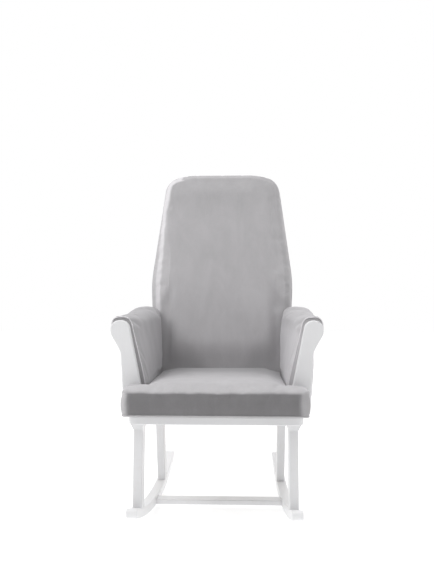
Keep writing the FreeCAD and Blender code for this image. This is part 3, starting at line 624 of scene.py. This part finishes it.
def seat_plan():
    """The cushion's T outline as a lattice of points, with the faces between them."""
    ear = spread(-seat_high.x, -SEAT_HALF[0], STEP)
    body = spread(-SEAT_HALF[0], SEAT_HALF[0], STEP)
    across = np.concatenate([ear[:-1], body, -ear[::-1][1:]])
    front = spread(seat_low.y, EAR_REAR, STEP)
    rear = spread(EAR_REAR, back_face(seat_low.z) - GAP, STEP)
    along = np.concatenate([front[:-1], rear])
    index = {}
    points = []
    for j, y in enumerate(along):
        for i, x in enumerate(across):
            if y > EAR_REAR + 1e-6 and abs(x) > SEAT_HALF[0] + 1e-6:
                continue
            index[i, j] = len(points)
            points.append((x, y))
    faces = []
    for j in range(len(along) - 1):
        for i in range(len(across) - 1):
            corners = [(i, j), (i + 1, j), (i + 1, j + 1), (i, j + 1)]
            if all(corner in index for corner in corners):
                faces.append([index[corner] for corner in corners])
    plan = np.array(points)
    fraction = np.clip((plan[:, 1] - EAR_REAR) / (along[-1] - EAR_REAR), 0, 1)
    plan[:, 0] *= 1 + fraction * (SEAT_HALF[1] / SEAT_HALF[0] - 1)
    for across_sign in (-1, 1):
        for edge, sign in ((seat_low.y, -1), (EAR_REAR, 1)):
            a = (plan[:, 0] * across_sign - (seat_high.x - EAR_CORNER)) / EAR_CORNER
            b = (plan[:, 1] * sign - (edge * sign - EAR_CORNER)) / EAR_CORNER
            near = (a > 0) & (b > 0) & (a < 1.001) & (b < 1.001)
            bent_a, bent_b = corner_square(a[near], b[near])
            plan[near, 0] = across_sign * (seat_high.x - EAR_CORNER + bent_a * EAR_CORNER)
            plan[near, 1] = sign * (edge * sign - EAR_CORNER + bent_b * EAR_CORNER)
    return plan, faces


def border_loop(faces):
    """The outer edge of a sheet of faces, in order."""
    ways = {}
    for face in faces:
        for i, start in enumerate(face):
            ways[start, face[(i + 1) % len(face)]] = True
    after = {start: end for start, end in ways if (end, start) not in ways}
    first = min(after)
    loop = [first]
    while after[loop[-1]] != first:
        loop.append(after[loop[-1]])
    return loop


def add_seat(material):
    plan, sheet = seat_plan()
    loop = border_loop(sheet)
    count = len(plan)
    low, high = seat_low.z, seat_high.z
    heights = [low + (high - low) * level / SEAT_LEVELS[-1] for level in SEAT_LEVELS]
    points = [(x, y, low) for x, y in plan] + [(x, y, high) for x, y in plan]
    faces = [tuple(reversed(face)) for face in sheet]
    faces += [tuple(index + count for index in face) for face in sheet]
    rings = [list(loop)]
    for height in heights[1:-1]:
        rings.append([len(points) + i for i in range(len(loop))])
        points += [(plan[index][0], plan[index][1], height) for index in loop]
    rings.append([index + count for index in loop])
    for lower, upper in zip(rings, rings[1:]):
        for i in range(len(loop)):
            after = (i + 1) % len(loop)
            faces.append((lower[i], lower[after], upper[after], upper[i]))
    points = np.array(points)
    top_edge = np.zeros(len(points))
    reach = plan_reach(plan, loop)
    near_edge = np.concatenate([reach, reach, np.zeros(len(points) - 2 * count)])
    exposed = points[:, 1] < EAR_REAR + 0.001
    top_edge[exposed & (points[:, 2] > high - 0.0125) & (near_edge < 0.0125)] = 1
    points = relax(points, faces, top_edge, 7)
    low_edge = ((points[:, 2] < low + 0.009) & (near_edge < 0.008)).astype(float)
    points = relax(points, faces, low_edge, 3)
    piece = make_piece("seat_cushion_cover", points, faces, material, seat_painted_light(points))
    held = np.zeros(len(points))
    held[:count] = 1
    for index in rings[0] + rings[1]:
        held[index] = 1
    pressed = points[:, 1] > EAR_REAR + 0.004
    for index in rings[-2] + rings[-1]:
        held[index] = 0.9 if pressed[index] else 0.35
    sides = (points[:, 1] > EAR_REAR + 0.01) & (near_edge < 0.001) & (points[:, 2] < high - 0.012)
    held[sides] = 1
    stuff(piece, held, pressure=5, cap=0.013, slack=0.012, limit=limit_seat)
    return piece, rings, near_edge


def plan_reach(plan, loop):
    """How far each point of a sheet is from its outer edge."""
    edge = plan[loop]
    return np.array([np.sqrt(((edge - point) ** 2).sum(axis=1).min()) for point in plan])


def seat_painted_light(points):
    """Painted shade and light: the front band is painted darker as if in shade, its left end and ear lighter
    as if lit from the left, and the top lighter at the front and darker towards the rear, where shade falls.
    """
    high = seat_high.z
    below = smooth_step(high - 0.005, high - 0.010, points[:, 2])
    front = smooth_step(-0.385, -0.397, points[:, 1]) * below
    inner = smooth_step(0.264, 0.250, np.abs(points[:, 0] + 0.003) + 0.004 * ripple(points, 30, 5))
    top = smooth_step(high - 0.02, high - 0.008, points[:, 2])
    light_front = 0.05 * smooth_step(-0.10, -0.36, points[:, 1])
    dark_rear = 0.40 * smooth_step(-0.30, 0.0, points[:, 1])
    left = smooth_step(-0.26, -0.275, points[:, 0])
    return 1.0 + top * (light_front - dark_rear) - front * (0.09 + 0.47 * inner - 0.26 * left)


def limit_seat(points, start):
    """Keeps the stuffed cushion on its deck, between the arms, and off the boards and the back."""
    points = points.copy()
    points[:, 2] = np.maximum(points[:, 2], seat_low.z - 0.0005)
    body = start[:, 1] > EAR_REAR + 0.001
    reach = SEAT_HALF[0] + 0.002
    points[body, 0] = np.clip(points[body, 0], -reach, reach)
    points[:, 1] = np.minimum(points[:, 1], back_face(points[:, 2]) - GAP)
    points[~body, 0] = np.clip(points[~body, 0], -seat_high.x - 0.001, seat_high.x + 0.001)
    ears = (~body) & (np.abs(start[:, 0]) > SEAT_HALF[0] + 0.004)
    points[ears, 1] = np.minimum(points[ears, 1], EAR_REAR + 0.0035)
    points[:, 1] = np.maximum(points[:, 1], seat_low.y - 0.007)
    return points


def finish_seat(piece, rings, near_edge):
    """The crown, the wavy front edge, the sewn seam under it and a few lazy creases."""
    points = points_of(piece)
    low, high = seat_low.z, seat_high.z
    above = smooth_step(high - 0.02, high - 0.004, points[:, 2])
    crown = np.clip(near_edge / 0.16, 0, 1)
    points[:, 2] += above * 0.011 * np.sin(crown * math.pi / 2)
    wave = ripple(points * (1, 0.2, 0), 17, 3) * 0.9 + ripple(points * (1, 0.2, 0), 41, 8) * 0.5
    front = smooth_step(-0.35, -0.40, points[:, 1]) * above
    points[:, 2] += front * wave * 0.0034
    points[:, 1] += front * ripple(points * (1, 0.2, 0), 23, 5) * 0.0025
    seam = high - 0.0165
    flank = (np.abs(points[:, 0]) > 0.268) * (points[:, 1] < EAR_REAR)
    face = np.clip(smooth_step(-0.388, -0.396, points[:, 1]) + flank, 0, 1)
    groove = face * hill(points[:, 2], seam, 0.0045)
    ear_side = np.abs(points[:, 0]) > 0.265
    outward = np.zeros_like(points)
    outward[:, 0] = np.where(ear_side, 0.7 * np.sign(points[:, 0]), 0)
    outward[:, 1] = np.where(ear_side, -0.7, -1)
    points -= outward * (groove * 0.0022)[:, None]
    belly = face * hill(points[:, 2], (low + high) / 2 - 0.006, 0.021)
    points += outward * (belly * 0.0035)[:, None]
    points[:, 2] += above * ripple(points, 9, 11) * 0.0016
    pulls = face * hill(points[:, 2], seam - 0.01, 0.012)
    points += outward * (pulls * ripple(points * (1, 1, 0.15), 60, 21) * 0.0013)[:, None]
    finish_cushion(piece, points, 0.85, "seat_cushion")
    return [points[index] for index in rings[0]]


def add_seat_piping(foot, material):
    """The piping under the front band and round the ears."""
    welt = np.array(foot)
    welt = welt[welt[:, 1] < EAR_REAR + 0.002]
    welt = welt[np.argsort(np.arctan2(welt[:, 1] + 0.25, welt[:, 0]))]
    welt = welt[(welt[:, 1] < EAR_REAR - 0.001) | (np.abs(welt[:, 0]) > 0.2)]
    add_piping("seat_piping", even(welt + (0, -0.0006, -0.0004), 220), 0.0031, material, 1.1)


# --- arms

ARM_AROUND = 96
ARM_REAR = 0.14
RUNGS = 8
CUSHION_CLEAR = 0.2185      # how near the middle a cover may come beside the seat cushion
HOLLOW_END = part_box("arm_rear_post_left")[1].y + 0.003


def arm_section(part):
    """The cover's outer line a part of the way back, from the inner foot over the roll to the outer foot."""
    foot = PLINTH + GAP
    bend = PLINTH + 0.087
    head = PLINTH + 0.250
    neck = PLINTH + 0.190
    top = PLINTH + 0.298 + 0.018 * part
    face = 0.222 - 0.004 * part
    inner = 0.262 - 0.040 * part
    roll = 0.022
    edge = 0.331
    path = [(face, foot), (face, bend), (inner, head), (inner + 0.004, top - roll),
            (inner + 0.014, top - 0.004), (inner + 1.35 * roll, top), (edge - 0.8 * roll, top),
            (edge - 0.004, top - 0.007), (edge + 0.001, top - roll), (edge, head), (0.313, neck + 0.030),
            (0.301, neck), (0.296, PLINTH + 0.1), (0.290, foot)]
    return even(rounded(path, 2), ARM_AROUND)


def hollow_section():
    """The inside line of the cover, round the arm's frame."""
    foot = PLINTH + GAP
    head = head_rail[1].z + GAP
    rise = (head_rail[1].x - foot_rail[1].x) / (head_rail[0].z - foot_rail[0].z)
    inner_foot = -foot_rail[1].x - GAP
    thick = 0.026
    inner_head = inner_foot - rise * (head - foot)
    path = [(inner_foot, foot), (inner_head, head), (inner_head + thick, head), (inner_foot + thick, foot)]
    return even(path, ARM_AROUND)


class ArmSkin:
    """An arm cover's points and faces; places says where along the section a point is, or -1 off it."""

    def __init__(self):
        self.points = []
        self.places = []
        self.faces = []

    def section(self, line, part, sign, on_line):
        first = len(self.points)
        for index, (x, z) in enumerate(line):
            y = ARM_START + part * (back_face(z) - GAP - ARM_START)
            self.points.append((sign * x, y, z))
            self.places.append(index / (ARM_AROUND - 1) if on_line else -1.0)
        return first

    def strip(self, first, second):
        for i in range(ARM_AROUND - 1):
            self.faces.append((first + i, second + i, second + i + 1, first + i + 1))

    def row(self, first, second, parts=RUNGS):
        """Both points and new ones evenly between them."""
        between = []
        for k in range(1, parts):
            near = np.array(self.points[first]) * (1 - k / parts)
            far = np.array(self.points[second]) * (k / parts)
            between.append(len(self.points))
            self.points.append(tuple(near + far))
            self.places.append(-1.0)
        return [first] + between + [second]

    def fill(self, rows, flip=False):
        for lower, upper in zip(rows, rows[1:]):
            for k in range(RUNGS):
                face = (lower[k], lower[k + 1], upper[k + 1], upper[k])
                self.faces.append(tuple(reversed(face)) if flip else face)

    def close(self, first):
        """Closes a section by rows from one side of its line to the other, and gives the lowest row."""
        last = first + ARM_AROUND - 1
        rows = [self.row(first + i, last - i) for i in range(ARM_AROUND // 2)]
        self.fill(rows, flip=True)
        return rows[0]


def arm_skin(sign):
    """The cover as a closed skin, hollow where the frame is, with its outer sections' first points."""
    along = spread(ARM_START, ARM_REAR, STEP)
    parts = (along - ARM_START) / (ARM_REAR - ARM_START)
    hollow_count = int(np.searchsorted(along, HOLLOW_END))
    hollow = hollow_section()
    last = ARM_AROUND - 1
    skin = ArmSkin()
    outer = [skin.section(arm_section(part), part, sign, True) for part in parts]
    inner = [skin.section(hollow, part, sign, False) for part in parts[:hollow_count]]
    for first, second in zip(outer, outer[1:]):
        skin.strip(first, second)
    for first, second in zip(inner, inner[1:]):
        skin.strip(second, first)
    skin.strip(inner[0], outer[0])
    for i in range(hollow_count - 1):
        skin.faces.append((outer[i], inner[i], inner[i + 1], outer[i + 1]))
        skin.faces.append((outer[i] + last, outer[i + 1] + last, inner[i + 1] + last, inner[i] + last))
    skin.close(inner[-1])
    rear_foot = skin.close(outer[-1])
    begin = outer[hollow_count - 1]
    underside = [[begin] + skin.row(inner[-1], inner[-1] + last, RUNGS - 2) + [begin + last]]
    underside += [skin.row(first, first + last) for first in outer[hollow_count:-1]]
    underside.append(rear_foot)
    skin.fill(underside)
    if sign > 0:
        skin.faces = [tuple(reversed(face)) for face in skin.faces]
    return skin, outer


def arm_held(points, places):
    """The cover is free over its outer skin, but sewn at the neck and backed at the front and the rear."""
    on_skin = places >= 0
    held = np.ones(len(points))
    held[(points[:, 1] > ARM_START + 0.004) & (places > 0.02) & (places < 0.98)] = 0
    held[on_skin & (np.abs(places - neck_place()) < 0.012)] = 0.8
    held[on_skin & (points[:, 1] > back_face(points[:, 2]) - 0.006)] = 1
    return held


def arm_limit(places):
    """Keeps a swelled cover off the back, the front board, the seat cushion and the plinth."""
    on_skin = places >= 0

    def limit(moved, begin):
        moved = moved.copy()
        moved[:, 1] = np.minimum(moved[:, 1], np.where(on_skin, back_face(moved[:, 2]) - GAP, begin[:, 1]))
        moved[:, 1] = np.maximum(moved[:, 1], ARM_START - 0.0005)
        beside_seat = (moved[:, 2] < seat_high.z + 0.012) & (np.abs(begin[:, 0]) < 0.235)
        across = np.abs(moved[:, 0])
        across[beside_seat] = np.maximum(across[beside_seat], CUSHION_CLEAR)
        moved[:, 0] = np.sign(moved[:, 0]) * across
        moved[:, 2] = np.maximum(moved[:, 2], PLINTH + 0.0005)
        return moved

    return limit


def add_arm(side, material):
    skin, outer = arm_skin(SIGNS[side])
    points = np.array(skin.points)
    places = np.array(skin.places)
    piece = make_piece(f"arm_cover_{side}", points, skin.faces, material, arm_painted_light(points, side))
    held = arm_held(points, places)
    stuff(piece, held, pressure=3, cap=0.006, slack=0.01, limit=arm_limit(places))
    return piece, places, outer


def neck_place():
    """Where along the section the outer panel's seam runs, under the roll."""
    line = arm_section(0.5)
    outside = np.arange(len(line)) > len(line) // 2
    nearest = np.argmin(np.abs(line[:, 1] - (PLINTH + 0.2)) + 10 * (~outside))
    return nearest / (ARM_AROUND - 1)


def arm_painted_light(points, side):
    """Painted light: the left arm is painted a little darker as if in shade, and the right arm's inner face
    below the roll lighter as if lit by the key from the left.
    """
    roll = smooth_step(PLINTH + 0.235, PLINTH + 0.285, points[:, 2])
    if side == "left":
        return 0.89 - 0.03 * roll
    inside = np.abs(points[:, 0]) < 0.262 + 0.02 * roll
    return 1.02 + 0.24 * inside * (1 - roll)


def finish_arm(piece, places, outer, side):
    """Gathers at the front of the roll, a tucked seam below it outside, and slack near the back."""
    points = points_of(piece)
    skin = places >= 0
    depth = points[:, 1] - ARM_START
    normal = np.zeros(len(points) * 3)
    piece.data.vertices.foreach_get("normal", normal)
    normal = normal.reshape(-1, 3)
    top = skin * smooth_step(PLINTH + 0.225, PLINTH + 0.262, points[:, 2])
    gather = top * np.exp(-np.maximum(depth - 0.004, 0) / 0.030) * smooth_step(0.0, 0.008, depth)
    turn = places * ARM_AROUND
    folds = np.sin(turn * 1.15 + depth * 26) + 0.7 * np.sin(turn * 0.52 + 1.3 - depth * 40)
    folds = folds + 0.8 * ripple(points * (1, 0.35, 1), 95, 91)
    points += normal * (gather * folds * 0.0023)[:, None]
    tuck = skin * hill(places, neck_place(), 0.013)
    points -= normal * (tuck * 0.003)[:, None]
    lazy = skin * smooth_step(0.03, 0.10, depth)
    points += normal * (lazy * ripple(points, 15, 31 if side == "left" else 37) * 0.0016)[:, None]
    pull = skin * smooth_step(0.36, 0.42, depth) * smooth_step(0.0, 0.01, points[:, 2] - seat_high.z)
    points += normal * (pull * np.sin(points[:, 2] * 210 + points[:, 1] * 80) * 0.0011)[:, None]
    finish_cushion(piece, points, 0.9, *(f"arm_{part}_pad_{side}" for part in ("inner", "outer", "top")))
    return points[outer[0] + 4:outer[0] + ARM_AROUND - 4]


def add_arm_piping(side, front, material):
    """The piping between the cover and the white board, ruched where the cover is gathered over the roll."""
    line = even(front + (0, 0.0022, 0), 190)
    gathers = smooth_step(PLINTH + 0.245, PLINTH + 0.27, line[:, 2])
    # The arm piping's colour is lifted 1.7 times, a painted highlight on a cord that sits in shade between
    # the board and the cover.
    add_piping(f"arm_piping_{side}", line, 0.0017, material, 1.7, ruched=gathers)


# --- back

BACK_WIDE = (0.242, 0.266, 0.215, 0.135)        # half the width at the foot, belly, shoulder and flat top
BACK_HEIGHTS = (-0.010, 0.427, 0.820, 0.843)
BACK_BENDS = (0.5, 0.066, 0.24)                 # radius at the belly, the shoulder and the flat top's end
ACROSS_COUNT = 72
UP_COUNT = 116
AROUND = 2 * (ACROSS_COUNT + UP_COUNT)
PAD_DEEP = 0.0445
BACK_FORWARD = 0.019                            # how far the stuffing may push the front out
SEAM_INSETS = (0.030, 0.017, 0.012)             # left, right and top


def arc_corner(before, corner, after, radius):
    """Replaces a corner by an arc."""
    count = 14
    before, corner, after = (np.asarray(p, float) for p in (before, corner, after))
    back = (before - corner) / np.linalg.norm(before - corner)
    ahead = (after - corner) / np.linalg.norm(after - corner)
    half = math.acos(np.clip(np.dot(back, ahead), -1, 1)) / 2
    run = radius / math.tan(half)
    centre = corner + (back + ahead) / np.linalg.norm(back + ahead) * radius / math.sin(half)
    first = corner + back * run - centre
    second = corner + ahead * run - centre
    angle = math.acos(np.clip(np.dot(first, second) / radius ** 2, -1, 1))
    turn = np.sign(first[0] * second[1] - first[1] * second[0])
    start = math.atan2(first[1], first[0])
    return [centre + radius * np.array([math.cos(start + turn * angle * k / count),
                                        math.sin(start + turn * angle * k / count)])
            for k in range(count + 1)]


def back_ring(inset_left, inset_right=None, inset_top=None):
    """The back's outline, drawn in by an inset, as a closed ring that starts at the lower left corner.

    The ring has ACROSS_COUNT steps along the foot and along the top and UP_COUNT up each side."""
    inset_right = inset_left if inset_right is None else inset_right
    inset_top = min(inset_left, inset_right) if inset_top is None else inset_top

    def half_line(inset):
        foot, wide, shoulder, flat = BACK_WIDE
        low, widest, high, top = BACK_HEIGHTS
        corners = [(foot - inset, low - 0.02), (wide - inset, widest), (shoulder - inset, high - inset_top),
                   (flat, top - inset_top), (0, top - inset_top)]
        line = [np.array(corners[0])]
        belly, shoulder_bend, flat_bend = BACK_BENDS
        line += arc_corner(*corners[0:3], belly)
        line += arc_corner(*corners[1:4], shoulder_bend - min(inset, 0.02))
        line += arc_corner(*corners[2:5], flat_bend)
        line.append(np.array(corners[4]))
        return np.array(line)

    right = even(half_line(inset_right), 400)
    left = even(half_line(inset_left), 400)
    left[:, 0] *= -1
    ends = [np.argmax(line[:, 1] > BACK_HEIGHTS[2] - inset_top - 0.012) for line in (left, right)]
    left_side, right_side = (even(line[:end + 1], UP_COUNT + 1) for line, end in zip((left, right), ends))
    top = even(np.vstack([left[ends[0]:], right[ends[1]:][::-1][1:]]), ACROSS_COUNT + 1)
    foot = even(np.array([left_side[0], right_side[0]]), ACROSS_COUNT + 1)
    return np.vstack([foot[:-1], right_side[:-1], top[::-1][:-1], left_side[::-1][:-1]])


def patch_points(ring):
    """The inside of a ring as a grid: rows from foot to top, columns from left to right."""
    a, u = ACROSS_COUNT, UP_COUNT
    foot = ring[:a + 1]
    right = ring[a:a + u + 1]
    top = ring[a + u:2 * a + u + 1][::-1]
    left = np.vstack([ring[2 * a + u:], ring[:1]])[::-1]
    grid = np.empty((u + 1, a + 1, 2))
    for j in range(u + 1):
        v = j / u
        for i in range(a + 1):
            w = i / a
            grid[j, i] = ((1 - v) * foot[i] + v * top[i] + (1 - w) * left[j] + w * right[j]
                          - (1 - w) * (1 - v) * foot[0] - w * (1 - v) * foot[-1]
                          - (1 - w) * v * top[0] - w * v * top[-1])
    return grid


class Form:
    """A closed form built from rings of the back's outline, closed by a patch at each end."""

    def __init__(self):
        self.points = []
        self.faces = []
        self.rings = []

    def span(self, first, last=None):
        """The points of one ring, or of all rings from one to another."""
        return slice(self.rings[first], self.rings[first if last is None else last] + AROUND)

    def ring(self, outline, depth):
        first = len(self.points)
        for x, h in outline:
            self.points.append((x, depth, h))
        self.rings.append(first)
        if len(self.rings) > 1:
            before = self.rings[-2]
            count = len(outline)
            for i in range(count):
                after = (i + 1) % count
                self.faces.append((before + i, before + after, first + after, first + i))

    def patch(self, outline, depth, flip):
        """Fills the last or first ring."""
        first = self.rings[0] if flip else self.rings[-1]
        a, u = ACROSS_COUNT, UP_COUNT
        grid = patch_points(outline)
        index = np.empty((u + 1, a + 1), int)
        index[0, :] = first + np.arange(a + 1)
        index[:, a] = first + a + np.arange(u + 1)
        index[u, :] = first + a + u + np.arange(a + 1)[::-1]
        index[1:, 0] = first + 2 * a + 2 * u - np.arange(1, u + 1)
        inside = []
        for j in range(1, u):
            for i in range(1, a):
                index[j, i] = len(self.points)
                inside.append(len(self.points))
                self.points.append((grid[j, i, 0], depth, grid[j, i, 1]))
        for j in range(u):
            for i in range(a):
                face = (index[j, i], index[j, i + 1], index[j + 1, i + 1], index[j + 1, i])
                self.faces.append(tuple(face) if flip else tuple(reversed(face)))
        return inside


def plinth_level(points):
    """How far up the back's face the plinth's top is, for points at any depth."""
    return (GAP + points[:, 1] * math.sin(LEAN)) / math.cos(LEAN)


def foot_pressed(points):
    """Presses the foot of the back's own shape flat on the plinth without folding it onto itself."""
    points = np.array(points, float)
    soft = 0.006
    least = plinth_level(points)
    under = np.maximum((least + soft - points[:, 2]) / soft, 0)
    points[:, 2] = np.where(under > 0, least + soft / (1 + under), points[:, 2])
    return points


def foot_level(points):
    """Cuts the back's own shape level with the plinth."""
    points = np.array(points, float)
    points[:, 2] = np.maximum(points[:, 2], plinth_level(points))
    return points


def add_back(material):
    """The padded front: a crowned panel, a sewn border round it that widens down the sides, a flat rear."""
    form = Form()
    left, right, top = SEAM_INSETS
    border = ((1.0, 0.0), (0.80, 0.0003), (0.60, 0.0012), (0.40, 0.0030), (0.20, 0.0066), (0.05, 0.0130))
    for share, depth in border:
        form.ring(back_ring(left * share, right * share, top * share), depth)
    for depth in (0.0225, 0.029, 0.0355, 0.041):
        form.ring(back_ring(0.0), depth)
    form.ring(back_ring(0.0015), PAD_DEEP)
    front = form.patch(back_ring(left, right, top), 0.0, True)
    rear = form.patch(back_ring(0.0015), PAD_DEEP, False)
    points = foot_pressed(form.points)
    piece = make_piece("back_cushion_cover", from_back(points), form.faces, material, back_painted_light(points, form))
    stuff(piece, back_held(points, form, rear), pressure=4, cap=0.020, slack=0.012, limit=limit_back)
    return piece, form, np.array(front), points


def back_held(points, form, rear):
    """The rear and the foot are backed; the border is firm at the crest, which keeps the outline's height."""
    held = np.zeros(len(points))
    held[rear] = 1
    held[form.span(-1)] = 1
    held[form.span(-2)] = 0.8
    crest = smooth_step(0.74, 0.80, points[:, 2])
    for index, firm in ((4, 0.35), (5, 0.6), (6, 0.75), (7, 0.75), (8, 0.75)):
        ring = form.span(index)
        held[ring] = np.maximum(held[ring], firm * (0.35 + 0.65 * crest[ring]))
    held[points[:, 2] < 0.03] = 1
    return held


def back_painted_light(local, form):
    """Painted light and shade: the left border is painted lighter as a highlight from the left, the right
    border a little darker, the top border lighter; the panel is lighter low down and darker near its top, and
    painted shadows of the arms darken it in a V low down at both sides.
    """
    step_in = np.zeros(len(local))
    for index in range(len(form.rings)):
        step_in[form.span(index)] = index
    across, height = local[:, 0], local[:, 2]
    side = (step_in > 0) * (np.abs(across) > 0.15)
    uneven = 0.5 * ripple(local * (0.3, 1, 1), 26, 81)
    lit = smooth_step(0.2, 1.9, step_in + uneven) * smooth_step(5.5, 4.0, step_in)
    # Painted highlight on the left border, a little painted shade on the right border, a painted highlight
    # along the top border.
    border = side * lit * (0.52 * (across < 0) - 0.06 * (across > 0))
    border = border + 0.12 * lit * (1 - side) * (height > 0.7)
    # Painted light low on the panel and painted shade near its top.
    panel = 0.10 * smooth_step(0.62, 0.32, height) - 0.12 * smooth_step(0.62, 0.80, height)
    slope = 0.035 + 0.75 * np.maximum(height - 0.10, 0)
    # Painted shadows of the arms: the panel's sides are darker low down, in a V.
    shade = smooth_step(slope, slope + 0.06, np.abs(across - 0.01)) * smooth_step(0.42, 0.26, height)
    return 1 + border + (1 - side) * (panel - 0.10 * shade)


def limit_back(points, start):
    """Keeps the crown clear of the arms' rear ends and the seat's rear edge."""
    local = to_back(points)
    before = to_back(start)
    height = before[:, 2]
    side = np.abs(before[:, 0])
    room = smooth_step(0.085, 0.2, height)
    beside_arm = smooth_step(0.325, 0.42, height)
    inner = smooth_step(0.212, 0.17, side)
    forward = BACK_FORWARD * room * np.maximum(inner, beside_arm)
    local[:, 1] = np.clip(local[:, 1], before[:, 1] - forward - 0.0002, PAD_DEEP)
    return from_back(foot_level(local))


def finish_back(piece, form, front, start):
    """Soft seams, puckers down the sewn border, pulls at the panel's sides and slow waves."""
    points = to_back(points_of(piece))
    height = start[:, 2]
    soft = np.zeros(len(points))
    soft[front] = 0.5
    soft[form.span(0, 4)] = 1
    points[:, 1] = relax(points, form.faces, soft, 14)[:, 1]
    corner = smooth_step(0.74, 0.77, height) * smooth_step(0.11, 0.15, np.abs(start[:, 0])) * (soft > 0)
    points = relax(points, form.faces, corner, 14)
    side = np.zeros(len(points))
    side[form.span(1, 5)] = 1
    side *= np.abs(start[:, 0]) > 0.19
    mid = hill(height, 0.47, 0.17)
    stitched = start * (0.12, 1, 1)
    pucker = ripple(stitched, 62, 41) + 0.6 * ripple(stitched, 120, 43)
    points[:, 1] -= side * (0.25 + mid) * pucker * 0.0026
    points[:, 0] += side * np.sign(start[:, 0]) * (0.2 + mid) * pucker * 0.0012
    panel = np.zeros(len(points))
    panel[front] = smooth_step(0.10, 0.2, height[front])
    reach = smooth_step(0.5, 0.9, np.abs(start[:, 0]) / 0.25)
    pulls = ripple(start * (0.35, 1, 1), 48, 47)
    slow = ripple(start * (1, 1, 0.4), 9, 53)
    points[:, 1] -= panel * (reach * (0.3 + mid) * pulls * 0.0014 + slow * 0.0022)
    finish_cushion(piece, from_back(foot_level(points)), 0.85, "back_cushion")


def add_rear(material):
    """The cover that wraps the frame's sides and closes the rear, hollow where the frame is."""
    form = Form()
    near, far = PAD_DEEP + 0.0022, 0.0835
    inside = far - 0.0045
    lip = ((0.0036, inside), (0.0036, near + 0.0035), (0.0032, near), (0.0005, near - 0.0006))
    wall = ((0.0, near + 0.004), (0.0, near + 0.012), (0.0, near + 0.020), (0.0, near + 0.027))
    edge = ((0.002, far - 0.0035), (0.0065, far - 0.0006), (0.016, far))
    for inset, depth in lip + wall + edge:
        form.ring(back_ring(inset), depth)
    hollow = form.patch(back_ring(0.0036), inside, True)
    outside = form.patch(back_ring(0.016), far, False)
    points = foot_pressed(form.points)
    held = np.zeros(len(points))
    held[hollow] = 1
    for index in (0, 1, 2, 3, -3, -2):
        held[form.span(index)] = 1
    held[points[:, 2] < 0.045] = 1
    piece = make_piece("back_rear_cover_skin", from_back(points), form.faces, material, 0.97)

    def limit(moved, begin):
        local = to_back(moved)
        before = to_back(begin)
        local[:, 1] = np.where(before[:, 1] > far - 0.002, np.maximum(local[:, 1], before[:, 1]), local[:, 1])
        return from_back(foot_level(local))

    stuff(piece, held, pressure=2, cap=0.004, slack=0.004, limit=limit)
    return piece, outside, points


def finish_rear(piece, outside, start):
    """Slow waves over the rear, and fine ribs near its sides."""
    points = to_back(points_of(piece))
    panel = np.zeros(len(points))
    panel[outside] = 1
    slow = ripple(start * (1, 1, 0.5), 10, 61)
    rib = ripple(start * (0.6, 1, 1), 40, 67)
    edge = smooth_step(0.17, 0.24, np.abs(start[:, 0]))
    away = smooth_step(0.045, 0.10, start[:, 2])
    points[:, 1] += panel * away * (slow * 0.0014 + edge * rib * 0.0009)
    finish_cushion(piece, from_back(foot_level(points)), 0.95, "back_rear_cover")


def add_back_piping(material):
    """The piping between the front pad and the rear cover, from foot to foot over the top."""
    ring = back_ring(-0.0004)
    path = np.vstack([ring[ACROSS_COUNT:], ring[:1]])
    local = np.array([(x, PAD_DEEP + 0.0012, height) for x, height in path])
    local = local[local[:, 2] > 0.014]
    add_piping("back_piping", from_back(local), 0.0026, material, 1.03)


# --- build

add_camera()
add_world()
add_floor()
add_area("key", (-1.9, -1.3, 2.5), (0, 0, 0.6), 1.4, 26)
add_area("top", (0.3, -0.2, 3.2), (0, 0, 0.5), 2.2, 24)
scene.view_settings.view_transform = "Standard"

dress_frame()
velvet_grey = velvet("velvet_grey", (0.437, 0.428, 0.439))
seat, seat_rings, seat_reach = add_seat(velvet_grey)
arms = {side: add_arm(side, velvet_grey) for side in SIGNS}
back, back_form, back_front, back_start = add_back(velvet_grey)
rear, rear_outside, rear_start = add_rear(velvet_grey)
run_cloth()
seat_foot = finish_seat(seat, seat_rings, seat_reach)
for side, (piece, places, outer) in arms.items():
    add_arm_piping(side, finish_arm(piece, places, outer, side), velvet_grey)
finish_back(back, back_form, back_front, back_start)
finish_rear(rear, rear_outside, rear_start)
add_back_piping(velvet_grey)
add_seat_piping(seat_foot, velvet_grey)
